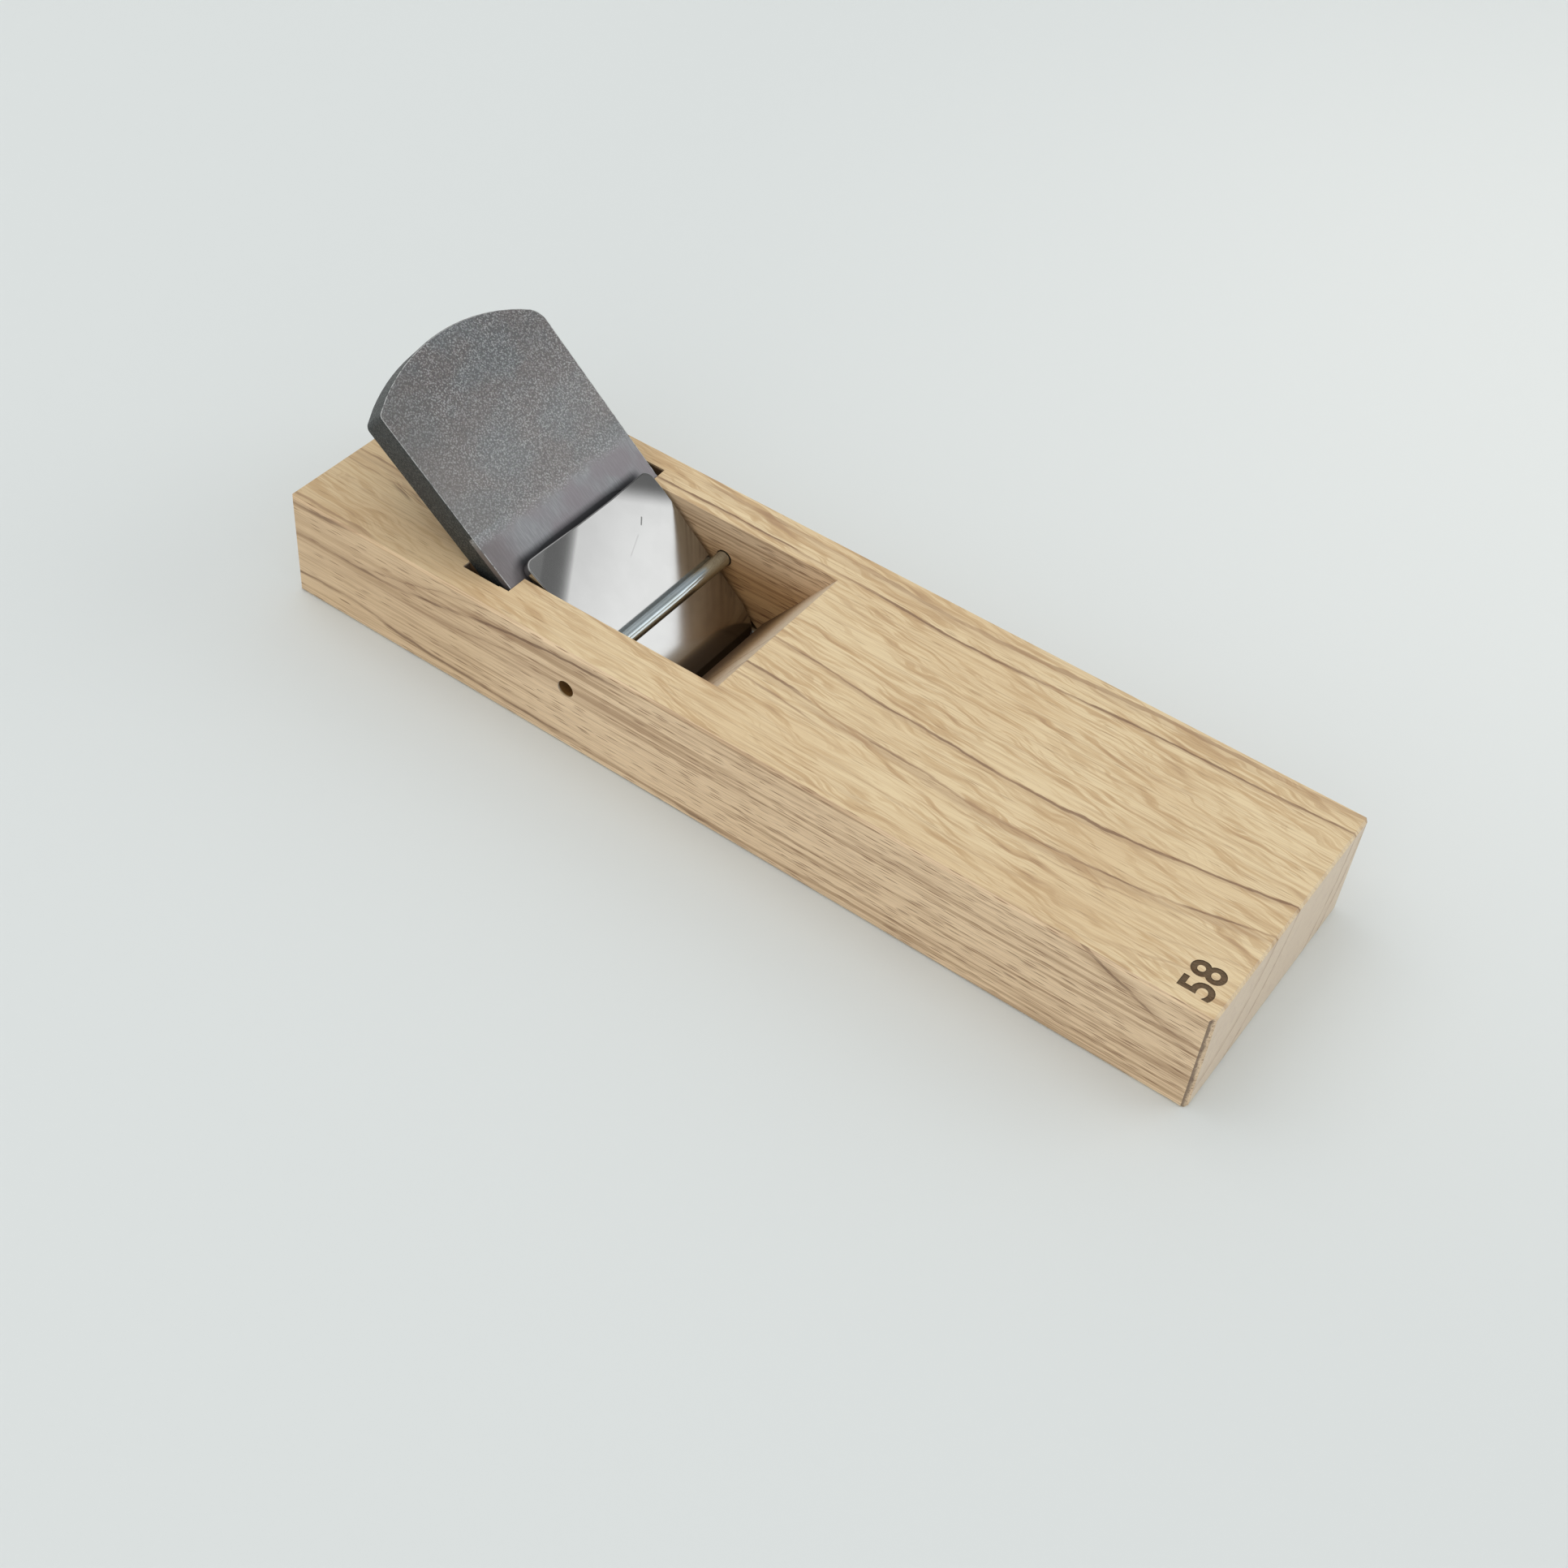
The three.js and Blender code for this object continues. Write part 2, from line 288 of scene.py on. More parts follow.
bpy.ops.object.text_add(location=(0, 0, 0))
digits = new_piece("digits")
digits.data.body = "58"
digits.data.resolution_u = 6
digits.data.offset = stroke_swell
digits.data.extrude = 1
work_on(digits)
bpy.ops.object.convert(target="MESH")
digits = bpy.context.object
low = Vector(digits.bound_box[0])
high = Vector(digits.bound_box[6])
size = high - low
digits.data.transform(Matrix.Translation(-low))
digits.scale = (digit_width / size.x, digit_height / size.y, digit_cutter_height / size.z)
digits.rotation_euler = (0, 0, radians(90))
digits.location = (digit_foot, digit_side, top - digit_depth)
settle()
pick(digits, "VERT", anything)
bpy.ops.mesh.remove_doubles(threshold=weld_distance / 10)
bpy.ops.mesh.normals_make_consistent(inside=False)
leave()
cut_away(block, digits)
print("digits", round(digit_width / MM, 1), "by", round(digit_height / MM, 1), "mm")

# %% [markdown]
# The blade is easiest to make lying flat, with its front face up, its cutting edge on the Y axis
# and its head towards -X. Its head is an arc, so it starts as a filled circle. A helper cuts with
# a flat plane, as a saw or a whetstone does. Two such cuts make the sides, and one takes away the
# far half.

# %% Blade outline
blade_length = 106 * MM
blade_half = (iron_high.y - iron_low.y) / 2
head_radius = 53 * MM
side_taper = 1 * MM
ear_length = 10 * MM
arc_points = 120
arc_middle = head_radius - blade_length
head_corner = arc_middle - (head_radius ** 2 - blade_half ** 2) ** 0.5
taper = side_taper / (-ear_length - head_corner)


def saw(piece, point, normal, cap=True):
    """Cuts the whole piece with a plane and takes away the side that the normal points to"""
    pick(piece, "VERT", anything)
    bpy.ops.mesh.bisect(
        plane_co=point, plane_no=normal, clear_outer=True, use_fill=cap, threshold=touch / 10)
    bpy.ops.mesh.select_all(action="SELECT")
    bpy.ops.mesh.remove_doubles(threshold=touch)
    leave()


bpy.ops.mesh.primitive_circle_add(
    vertices=arc_points, radius=head_radius, fill_type="NGON", location=(arc_middle, 0, 0))
blade = new_piece("blade")
settle()
for side in (-1, 1):
    saw(blade, (head_corner, side * blade_half, 0), (taper, side, 0), cap=False)
saw(blade, (arc_middle, 0, 0), (1, 0, 0), cap=False)
print("head of the blade has", len(blade.data.vertices), "points")

# %% [markdown]
# The straight side of that shape is drawn out to where the ears begin, and from there, narrower,
# to the cutting edge. The ears are the two lower corners, ground off so that no shaving jams
# beside the blade.

# %% Blade ears
ear_inset = 5 * MM
ear_half = blade_half - side_taper


def draw_out(piece, from_x, to_x, half):
    """Draws the straight lower edge of a flat outline on, and sets its half width there"""
    def at_edge(vertex):
        return abs(vertex.co.x - from_x) < touch

    half_before = max(abs(vertex.co.y) for vertex in piece.data.vertices if at_edge(vertex))
    pick(piece, "VERT", at_edge)
    bpy.ops.mesh.extrude_region_move(TRANSFORM_OT_translate={"value": (to_x - from_x, 0, 0)})
    bpy.ops.transform.resize(value=(1, half / half_before, 1), center_override=(to_x, 0, 0))
    leave()


draw_out(blade, arc_middle, -ear_length, ear_half)
draw_out(blade, -ear_length, 0, ear_half - ear_inset)
print("blade is", round(2 * (ear_half - ear_inset) / MM, 1), "mm wide at its edge")

# %% [markdown]
# The corners of the head are rounded, one more than the other. Points of the arc that crowd a
# corner are dissolved first, because they leave no room for the round.

# %% Head corners
corner_rounds = ((-1, 1.2 * MM), (1, 3 * MM))
corner_clear = 3.6 * MM


def from_corner(vertex):
    """How far a point is from the nearer head corner"""
    folded = Vector((vertex.co.x, abs(vertex.co.y), 0))
    return (folded - Vector((head_corner, blade_half, 0))).length


nearest = min(from_corner(vertex) for vertex in blade.data.vertices)
pick(blade, "VERT", lambda vertex: nearest + touch < from_corner(vertex) < corner_clear)
bpy.ops.mesh.dissolve_verts()
leave()
for side, corner_round in corner_rounds:
    corners = pick(blade, "VERT", lambda vertex: (
        from_corner(vertex) < nearest + touch and side * vertex.co.y > 0
    ))
    bpy.ops.mesh.bevel(offset=corner_round, segments=8, affect="VERTICES")
    leave()
    print("head corner rounded:", corners, "by", round(corner_round / MM, 1), "mm")
print("blade outline has", len(blade.data.vertices), "points")

# %% [markdown]
# A forged blade is thick at the head and a little thinner at the edge. The outline is extruded
# deeper than needed, and two saw cuts then make the sloping back and the ground bevel. The sides
# lean in towards the back, because a smith closes them with the blade face down.

# %% Blade thickness
edge_thickness = 6.6 * MM
wedge = radians(1)
bevel_angle = radians(29)
back_share = 0.976
blade_arris = 0.3 * MM
arris_angle = radians(35)
spare = 1 * MM
head_thickness = edge_thickness + blade_length * tan(wedge)
depth = head_thickness + spare

pick(blade, "FACE", anything)
bpy.ops.mesh.extrude_region_move(TRANSFORM_OT_translate={"value": (0, 0, -depth)})
bpy.ops.transform.resize(value=(1, back_share, 1), center_override=(0, 0, 0))
bpy.ops.mesh.select_all(action="SELECT")
bpy.ops.mesh.normals_make_consistent(inside=False)
leave()
saw(blade, (0, 0, -edge_thickness), (sin(wedge), 0, -cos(wedge)))
saw(blade, (0, 0, 0), (sin(bevel_angle), 0, -cos(bevel_angle)))
pick(blade, "EDGE", lambda e: (
    e.calc_face_angle(0) > arris_angle and abs(middle(e).x) > spare
))
bpy.ops.mesh.bevel(offset=blade_arris, segments=2)
leave()
print("blade is", round(head_thickness / MM, 2), "mm thick at the head")

# %% [markdown]
# The blade is two metals welded together: soft iron, with a thin facing of hard steel on the
# lower part of its front. Both are cut from the same solid with copies of one box, so they meet
# without a gap. A shallow hollow is then ground into the steel, so that only its rim has to be
# honed flat. A box with very round corners, squashed nearly flat, grinds that hollow.

# %% Iron and steel
facing_length = 62 * MM
facing_thickness = 1.8 * MM
reach = 20 * MM
hollow_rim = 5 * MM
hollow_depth = 0.35 * MM
hollow_top = 51 * MM
hollow_corner = 12 * MM
hollow_inset = 0.5 * MM
hollow_block = 3 * hollow_corner


def facing_box():
    """A box that holds just the steel facing, and runs past the blade on its open sides"""
    size = (facing_length + reach, 2 * blade_half + reach, facing_thickness + reach)
    return new_box(
        "facing_box", size, ((reach - facing_length) / 2, 0, (reach - facing_thickness) / 2))


facing = bpy.data.objects.new("laminated_steel_facing", blade.data.copy())
bpy.context.collection.objects.link(facing)
cut_away(facing, facing_box(), "INTERSECT")
cut_away(blade, facing_box())
blade.name = "forged_iron_body"

hollow = new_box("hollow", (
    hollow_top - hollow_rim, 2 * (blade_half - hollow_rim - hollow_inset), hollow_block))
finish_with(hollow, "BEVEL", width=hollow_corner, segments=10, limit_method="NONE")
hollow.scale = (1, 1, hollow_depth / (hollow_block / 2))
hollow.location = (-(hollow_top + hollow_rim) / 2, 0, 0)
settle()
cut_away(facing, hollow)
print("facing has", len(facing.data.polygons), "faces, iron", len(blade.data.polygons))

# %% [markdown]
# Both metals are now turned to the blade's slope and set down on the cutting edge of the model.

# %% Set the blade
crease = radians(35)


def set_on_edge(piece):
    """Turns a piece made flat to the slope of the blade, and puts its datum on the cutting edge"""
    work_on(piece)
    piece.rotation_euler = (0, slope, 0)
    piece.location = edge
    settle()


def shade(piece):
    """Shades the flats flat and the rounds round"""
    work_on(piece)
    bpy.ops.object.shade_smooth_by_angle(angle=crease)
    finish_with(piece, "WEIGHTED_NORMAL", keep_sharp=True)


def compare(piece, low, high):
    """Prints how far a piece reaches past the box of its solid along each axis"""
    places = [vertex.co for vertex in piece.data.vertices]
    past = [
        max(low[k] - min(place[k] for place in places), max(place[k] for place in places) - high[k])
        for k in range(3)
    ]
    print(piece.name, "stands outside its solid by", [round(p / MM, 2) for p in past], "mm")


for piece in (blade, facing):
    set_on_edge(piece)
    shade(piece)
compare(blade, iron_low, iron_high)
compare(facing, facing_low, facing_high)

# %% [markdown]
# The chip breaker is a plate whose two back corners are bent down, so that they bear on the blade
# and press its lip down on the edge. It is made as a flat sheet first, as in the workshop, and
# the four corners of the sheet are rounded.

# %% Chip breaker sheet
breaker_length = 49 * MM
breaker_half = (breaker_high.y - breaker_low.y) / 2
breaker_side = (breaker_high.y + breaker_low.y) / 2 - edge.y
lip_setback = 0.9 * MM
lip_radius = 4 * MM
back_radius = 2.4 * MM
back_x = -lip_setback - breaker_length

bpy.ops.mesh.primitive_plane_add(size=1, location=(0, 0, 0))
breaker = new_piece("polished_chip_breaker")
breaker.scale = (breaker_length, 2 * breaker_half, 1)
breaker.location = (back_x + breaker_length / 2, breaker_side, 0)
settle()
for radius, end_x in ((lip_radius, -lip_setback), (back_radius, back_x)):
    pick(breaker, "VERT", lambda vertex: (
        abs(vertex.co.x - end_x) < touch
        and abs(abs(vertex.co.y - breaker_side) - breaker_half) < touch
    ))
    bpy.ops.mesh.bevel(offset=radius, segments=8, affect="VERTICES")
    leave()
print("sheet of", len(breaker.data.vertices), "points,", round(2 * breaker_half / MM, 1), "mm wide")

# %% [markdown]
# A line is struck across each back corner, the corner is turned down about that line, and the
# fold is rounded. This is done on the thin sheet, because both faces of the plate then follow the
# same bend. Each corner is given by its side and by how far its line reaches along the back and
# along the side.

# %% Bent corners
fold_radius = 3.9 * MM
corner_lift = 1.5 * MM
ears = ((-1, 13 * MM, 10.5 * MM), (1, 9.7 * MM, 7.5 * MM))

for side, along_back, along_side in ears:
    corner = Vector((back_x, breaker_side + side * breaker_half, 0))
    start = corner - Vector((0, side * along_back, 0))
    end = corner + Vector((along_side, 0, 0))
    fold = (end - start).normalized()
    out = Vector((-fold.y, fold.x, 0))
    out *= 1 if (corner - start).dot(out) > 0 else -1
    drop = (corner - start).dot(out)
    bend = atan2(corner_lift, drop)
    turn = bend if fold.cross(out).z < 0 else -bend
    pick(breaker, "VERT", anything)
    bpy.ops.mesh.bisect(plane_co=start, plane_no=out, threshold=touch / 10)
    leave()
    count = pick(breaker, "VERT", lambda vertex: (vertex.co - start).dot(out) > touch)
    lifted = Matrix.Rotation(turn, 4, fold)
    for vertex in bmesh.from_edit_mesh(breaker.data).verts:
        if vertex.select:
            vertex.co = start + lifted @ (vertex.co - start)
    leave()
    pick(breaker, "EDGE", lambda e: len(e.link_faces) == 2 and all(
        abs((v.co - start).dot(out)) < touch and abs(v.co.z) < touch for v in e.verts
    ))
    bpy.ops.mesh.bevel(offset=fold_radius, segments=8)
    leave()
    print("ear bent", round(degrees(bend), 1), "degrees,", count, "points moved")
lowest = min(v.co.z for v in breaker.data.vertices)
print("lowest point of the sheet", round(lowest / MM, 2), "mm")

# %% [markdown]
# The sheet is given the thickness of the plate, tipped so that its back end stands a little off
# the blade, and its lip is ground thin from the front. The rim is then rounded as polishing
# rounds it, and the plate goes to its place on the blade.

# %% Chip breaker plate
plate_thickness = 3 * MM
plate_gap = 0.3 * MM
lip_thickness = 0.7 * MM
lip_bevel_length = 7 * MM
rim_round = 0.35 * MM
rim_angle = radians(50)
tip = atan2(corner_lift, breaker_length)

finish_with(breaker, "SOLIDIFY", thickness=plate_thickness, offset=1)
pick(breaker, "FACE", anything)
bpy.ops.mesh.normals_make_consistent(inside=False)
leave()
breaker.data.transform(Matrix.Translation((lip_setback, 0, 0)))
breaker.data.transform(Matrix.Rotation(tip, 4, "Y"))
breaker.data.transform(Matrix.Translation((-lip_setback, 0, plate_gap)))
grind = atan2(plate_thickness - lip_thickness, lip_bevel_length)
saw(breaker, (-lip_setback, 0, plate_gap + lip_thickness), (sin(grind), 0, cos(grind)))
pick(breaker, "EDGE", lambda e: e.calc_face_angle(0) > rim_angle)
bpy.ops.mesh.bevel(offset=rim_round, segments=3)
leave()
set_on_edge(breaker)
shade(breaker)
compare(breaker, breaker_low, breaker_high)

# %% [markdown]
# The pressure rod is a cut length of zinc-plated wire, knocked into a drilled hole. It starts as
# a cylinder, is laid along Y, and its cut ends are rounded over as a file leaves them. With the
# last shape made, the block is shaded like the other pieces.

# %% Pressure rod
rod_sides = 64
rod_end_round = 0.5 * MM
rod_middle = (rod_low + rod_high) / 2
rod_radius = (rod_high.z - rod_low.z) / 2
rod_length = rod_high.y - rod_low.y

bpy.ops.mesh.primitive_cylinder_add(
    vertices=rod_sides, radius=rod_radius, depth=rod_length, location=rod_middle,
    rotation=(radians(90), 0, 0))
rod = new_piece("round_pressure_rod")
settle()
pick(rod, "EDGE", lambda e: all(
    abs(abs(v.co.y - rod_middle.y) - rod_length / 2) < touch for v in e.verts
))
bpy.ops.mesh.bevel(offset=rod_end_round, segments=4)
leave()
shade(rod)
shade(block)
print("rod", round(2 * rod_radius / MM, 2), "mm thick,", round(rod_length / MM, 1), "mm long")

# %% [markdown]
# The shapes are done, and the finishes follow. A material is a small graph of nodes, and what
# several materials need is made once, as a shared effect with named inputs and outputs. The first
# one is the growth of the oak. For any place in the wood it says how far out in the trunk that
# place is, and how strongly a ring line shows there. Places are in millimetres throughout.

# %% A shared effect
def feed(tree, socket, value):
    """Gives an input a value, or a link from another node's output"""
    if isinstance(value, bpy.types.NodeSocket):
        tree.links.new(value, socket)
    else:
        socket.default_value = value


def put(tree, kind, settings=None, **inputs):
    """Adds a shader node with its options and inputs"""
    node = tree.nodes.new("ShaderNode" + kind)
    for name, value in (settings or {}).items():
        setattr(node, name, value)
    for name, value in inputs.items():
        feed(tree, node.inputs[name.replace("_", " ")], value)
    return node


def new_effect(name, inputs, outputs):
    """A shared effect: a node group with named inputs and outputs"""
    tree = bpy.data.node_groups.new(name, "ShaderNodeTree")
    for label, kind in inputs:
        tree.interface.new_socket(label, in_out="INPUT", socket_type="NodeSocket" + kind)
    for label, kind in outputs:
        tree.interface.new_socket(label, in_out="OUTPUT", socket_type="NodeSocket" + kind)
    entry = tree.nodes.new("NodeGroupInput").outputs
    return tree, entry, tree.nodes.new("NodeGroupOutput").inputs


rings, entry, result = new_effect(
    "oak_rings",
    [("Place", "Vector")],
    [("Distance", "Float"), ("Line", "Float"), ("Side line", "Float")],
)
place = entry["Place"]
parts = put(rings, "SeparateXYZ", Vector=place).outputs
print(rings.name, "gives", [socket.name for socket in result if socket.name])

# %% [markdown]
# Growth rings are the first thing that shows on oak. A board is a slice of a trunk, so its rings
# are circles round a line that runs along the board, here a little above its near side. The
# distance from that line says which ring a point is in. Sums in a graph are nodes too, so they
# get short words of their own.

# %% Distance from the heart
heart_y = -40.0
heart_z = 38.0


def maths(tree, operation, *values):
    """One sum on plain values"""
    node = put(tree, "Math", {"operation": operation})
    for socket, value in zip(node.inputs, values):
        feed(tree, socket, value)
    return node.outputs[0]


def times(tree, *values):
    """The product of two or more plain values"""
    product, *others = values
    for value in others:
        product = maths(tree, "MULTIPLY", product, value)
    return product


def vector_maths(tree, operation, *values):
    """One sum on vectors; a length and a dot product come out as plain values"""
    node = put(tree, "VectorMath", {"operation": operation})
    for socket, value in zip(node.inputs, values):
        feed(tree, socket, value)
    return node.outputs["Value" if operation in ("LENGTH", "DOT_PRODUCT") else "Vector"]


from_heart = vector_maths(rings, "SUBTRACT", place, (0, heart_y, heart_z))
radius = vector_maths(rings, "LENGTH", vector_maths(rings, "MULTIPLY", from_heart, (0, 1, 1)))
print("heart of the trunk at", heart_y, heart_z, "mm")

# %% [markdown]
# A trunk is never straight, so its rings bend along the board and waver a little. The bends are
# curves through shifts measured at places along the board, one set for the rings close to the
# heart and one for those farther out. The wavering is noise.

# %% Bent rings
bend_reach = 16.0
near_bend = (
    (-129, 0.0), (-98, -0.5), (-70, -1.0), (-40, -1.0), (-7, 0.0), (18, -2.2),
    (44, -3.6), (61, -5.0), (80, -4.6), (93, -3.4), (109, -0.6), (129, 4.0),
)
far_bend = ((-129, 0.0), (-7, 0.0), (23, -1.4), (51, -0.5), (75, 0.8), (98, 1.0), (129, 2.4))


def drawn_curve(x, levels):
    """A smooth curve through levels from 0 to 1, each given at its place along the board"""
    end = block_high.x / MM
    along = put(rings, "MapRange", Value=x, From_Min=-end, From_Max=end).outputs[0]
    curve = put(rings, "FloatCurve", Value=along)
    stops = [((place_x / end + 1) / 2, level) for place_x, level in levels]
    points = curve.mapping.curves[0].points
    points[0].location = stops[0]
    points[-1].location = stops[-1]
    for stop in stops[1:-1]:
        points.new(*stop)
    curve.mapping.update()
    return curve.outputs[0]


def slow_bend(shifts):
    """How far the rings swing out along the board, through a few measured shifts"""
    curve = drawn_curve(parts["X"], [(x, 0.5 + shift / bend_reach) for x, shift in shifts])
    return maths(rings, "MULTIPLY_ADD", curve, bend_reach, -bend_reach / 2)


def ramp_between(tree, value, low, high, start=0.0, end=1.0):
    """Goes smoothly from start to end as a value goes from low to high"""
    node = put(
        tree, "MapRange", {"interpolation_type": "SMOOTHSTEP"},
        Value=value, From_Min=low, From_Max=high, To_Min=start, To_Max=end,
    )
    return node.outputs[0]


farther = ramp_between(rings, radius, 26, 62)
bend = put(rings, "Mix", Factor=farther, A=slow_bend(near_bend), B=slow_bend(far_bend))
wandering = maths(rings, "SUBTRACT", radius, bend.outputs[0])
print("bends through", len(near_bend), "and", len(far_bend), "shifts")

# %% Wavering rings
def noise(tree, place, scale, detail=2.0, distortion=0.0):
    """Soft noise whose blobs have a size of about one over each scale"""
    stretched = vector_maths(tree, "MULTIPLY", place, scale)
    node = put(tree, "TexNoise", Vector=stretched, Scale=1.0, Detail=detail, Distortion=distortion)
    return node.outputs[0]


def wander(scale, detail, width):
    """Noise that pushes a line to either side, by half its width at most"""
    pushed = noise(rings, place, scale, detail=detail)
    return maths(rings, "MULTIPLY_ADD", pushed, width, -width / 2)


slow = wander((0.016, 0.05, 0.05), 2, 1.6)
quick = wander((0.16, 0.6, 0.6), 4, 1.3)
wandering = maths(rings, "ADD", maths(rings, "ADD", wandering, slow), quick)
feed(rings, result["Distance"], wandering)
print("oak rings:", len(rings.nodes), "nodes so far")

# %% [markdown]
# The few bold lines of the top are drawn where this board has them. Each has a distance, half its
# width, the width of the halo on its fading side, a strength, and where along the board it starts
# and ends.

# %% Lines on the top
ring_lines = (
    (9.4, 0.2, 1.4, 0.6, -150, -96),
    (13.2, 0.15, 3.0, 0.3, 70, 150),
    (18.2, 0.1, 0.8, 0.25, -150, 150),
    (24.5, 0.1, 0.6, 0.6, -150, 30),
    (25.4, 0.05, 0.5, 0.45, 48, 112),
    (28.7, 0.2, 3.2, 0.85, -150, 150),
    (32.3, 0.05, 0.5, 0.25, -150, -40),
    (39.3, 0.2, 1.4, 0.9, -150, 150),
    (67.9, 0.2, 0.9, 0.9, -150, 150),
    (73.8, 0.5, 2.6, 0.6, -60, 150),
)
line_blur = 0.3
halo_strength = 0.4
halo_plateau = 0.4
line_fade = 12

drawn = 0.0
for distance, half_width, halo, strength, first, last in ring_lines:
    past = maths(rings, "SUBTRACT", wandering, distance)
    aside = maths(rings, "ABSOLUTE", past)
    rise = ramp_between(
        rings, past, -halo - half_width, -halo_plateau * halo - half_width,
        0, halo_strength * strength)
    fall = ramp_between(rings, past, half_width, half_width + line_blur, 1, 0)
    core = ramp_between(rings, aside, half_width, half_width + line_blur, strength, 0)
    line = maths(rings, "MAXIMUM", core, times(rings, rise, fall))
    started = ramp_between(rings, parts["X"], first, first + line_fade)
    ended = ramp_between(rings, parts["X"], last - line_fade, last, 1, 0)
    drawn = maths(rings, "MAXIMUM", drawn, times(rings, line, started, ended))
feed(rings, result["Line"], drawn)
print(len(ring_lines), "ring lines on the top, in", len(rings.nodes), "nodes so far")

# %% [markdown]
# The sides cut the rings at a slant, so their lines are drawn for themselves: as heights above
# the sole at places along the board, with half a width, a halo and a strength. The far side has
# the same lines turned end for end.

# %% Lines on the sides
side_reach = 40.0
side_lines = (
    (((-129, 28.4), (-118, 29.2), (-104, 31.2), (-98, 32.0)), 0.35, 2.2, 0.85),
    (((-129, 18.7), (-98, 19.8), (-80, 22.4), (-60, 26.0), (-42, 27.6), (-25, 28.0)),
     0.3, 3.0, 0.95),
    (((-100, 21.5), (-88, 24.3), (-78, 27.4), (-66, 29.4)), 0.0, 2.4, 0.7),
    (((-129, 6.2), (-109, 7.0), (-92, 4.6), (-70, 3.4), (-50, 2.8), (-20, 2.4), (10, 1.5)),
     0.25, 1.3, 0.85),
    (((-104, 16.5), (-80, 17.5), (-60, 20.0), (-38, 22.5)), 0.1, 2.6, 0.55),
    (((88, 33.5), (94, 31.8), (107, 26.7), (114, 23.6), (122, 20.6), (129, 20.4)),
     0.3, 4.0, 0.9),
)
side_line_blur = 0.4
side_halo_strength = 0.45

turned_x = times(rings, parts["X"], maths(rings, "SIGN", parts["Y"]), -1)
lifted = maths(rings, "ADD", parts["Z"], quick)
drawn = 0.0
for points, half_width, halo, strength in side_lines:
    curve = drawn_curve(turned_x, [(x, z / side_reach) for x, z in points])
    past = maths(rings, "MULTIPLY_ADD", curve, -side_reach, lifted)
    aside = maths(rings, "ABSOLUTE", maths(rings, "ADD", past, slow))
    core = ramp_between(rings, aside, half_width, half_width + side_line_blur, strength, 0)
    veil = ramp_between(
        rings, aside, half_width, half_width + halo, side_halo_strength * strength, 0)
    line = maths(rings, "MAXIMUM", core, veil)
    first, last = points[0][0], points[-1][0]
    started = ramp_between(rings, turned_x, first - line_fade, first)
    ended = ramp_between(rings, turned_x, last - line_fade, last + line_fade, 1, 0)
    drawn = maths(rings, "MAXIMUM", drawn, times(rings, line, started, ended))
feed(rings, result["Side line"], drawn)
print(len(side_lines), "ring lines on each side, in", len(rings.nodes), "nodes")

# %% [markdown]
# Between its bold lines oak has finer marks, all drawn out along the board. Fibres are noise
# stretched nearly seventy times along X. Faint rings repeat every two millimetres. The flame
# figure on the top is broader noise, leaning a little across the board. Pores are short dark
# dashes where the cut runs along them, and dots on the ends, so they are cells nearly eight
# millimetres long and half a millimetre thick, of which only some are filled. A few small dark
# knots lie near the head. The face's own direction says where each mark is strong. The colours
# come first. They are given as they look on screen, from 0 to 255, and turned into the linear
# values that the shader wants.

# %% Oak colours
def colour(red, green, blue):
    """A screen colour as the linear values that the shader wants"""
    levels = (red / 255, green / 255, blue / 255)
    return tuple(c / 12.92 if c <= 0.04045 else ((c + 0.055) / 1.055) ** 2.4 for c in levels) + (1,)


oak_pale = colour(229, 207, 166)
oak_warm = colour(213, 183, 140)
oak_tan = colour(198, 166, 123)
oak_brown = colour(166, 133, 102)
oak_line = colour(126, 98, 76)
oak_pore = colour(122, 84, 60)
oak_side = colour(238, 209, 173)
oak_end = colour(218, 202, 184)
# The next three are painted shade, multiplied over the oak in the throat and the grooves.
oak_throat_shade = colour(206, 184, 152)
oak_groove_shade = colour(120, 104, 90)
oak_deep_shade = colour(120, 108, 92)
oak_bored = colour(142, 114, 76)
print("pale oak in the shader's values:", [round(c, 3) for c in oak_pale[:3]])

# %% Oak figure
def use_effect(tree, effect, **inputs):
    """Places a shared effect in a material"""
    node = tree.nodes.new("ShaderNodeGroup")
    node.node_tree = effect
    for name, value in inputs.items():
        feed(tree, node.inputs[name.replace("_", " ")], value)
    return node.outputs


figure, entry, result = new_effect(
    "oak_figure",
    [("Place", "Vector"), ("Facing", "Vector")],
    [("Colour", "Color"), ("Height", "Float")],
)
place = entry["Place"]
apart = put(figure, "SeparateXYZ", Vector=place).outputs
facing_parts = put(figure, "SeparateXYZ", Vector=entry["Facing"]).outputs
on_end = ramp_between(figure, maths(figure, "ABSOLUTE", facing_parts["X"]), 0.6, 0.9)
on_side = ramp_between(figure, maths(figure, "ABSOLUTE", facing_parts["Y"]), 0.4, 0.8)
grown = use_effect(figure, rings, Place=place)


def by_side(elsewhere, on_sides):
    """A value that is different on the sides"""
    return ramp_between(figure, on_side, 0, 1, elsewhere, on_sides)


print(figure.name, "gives", [socket.name for socket in result if socket.name])

# %% Noises of the figure
flame_slant = 0.13
flame_sway = 7.0
fine_ring_gap = 2.1

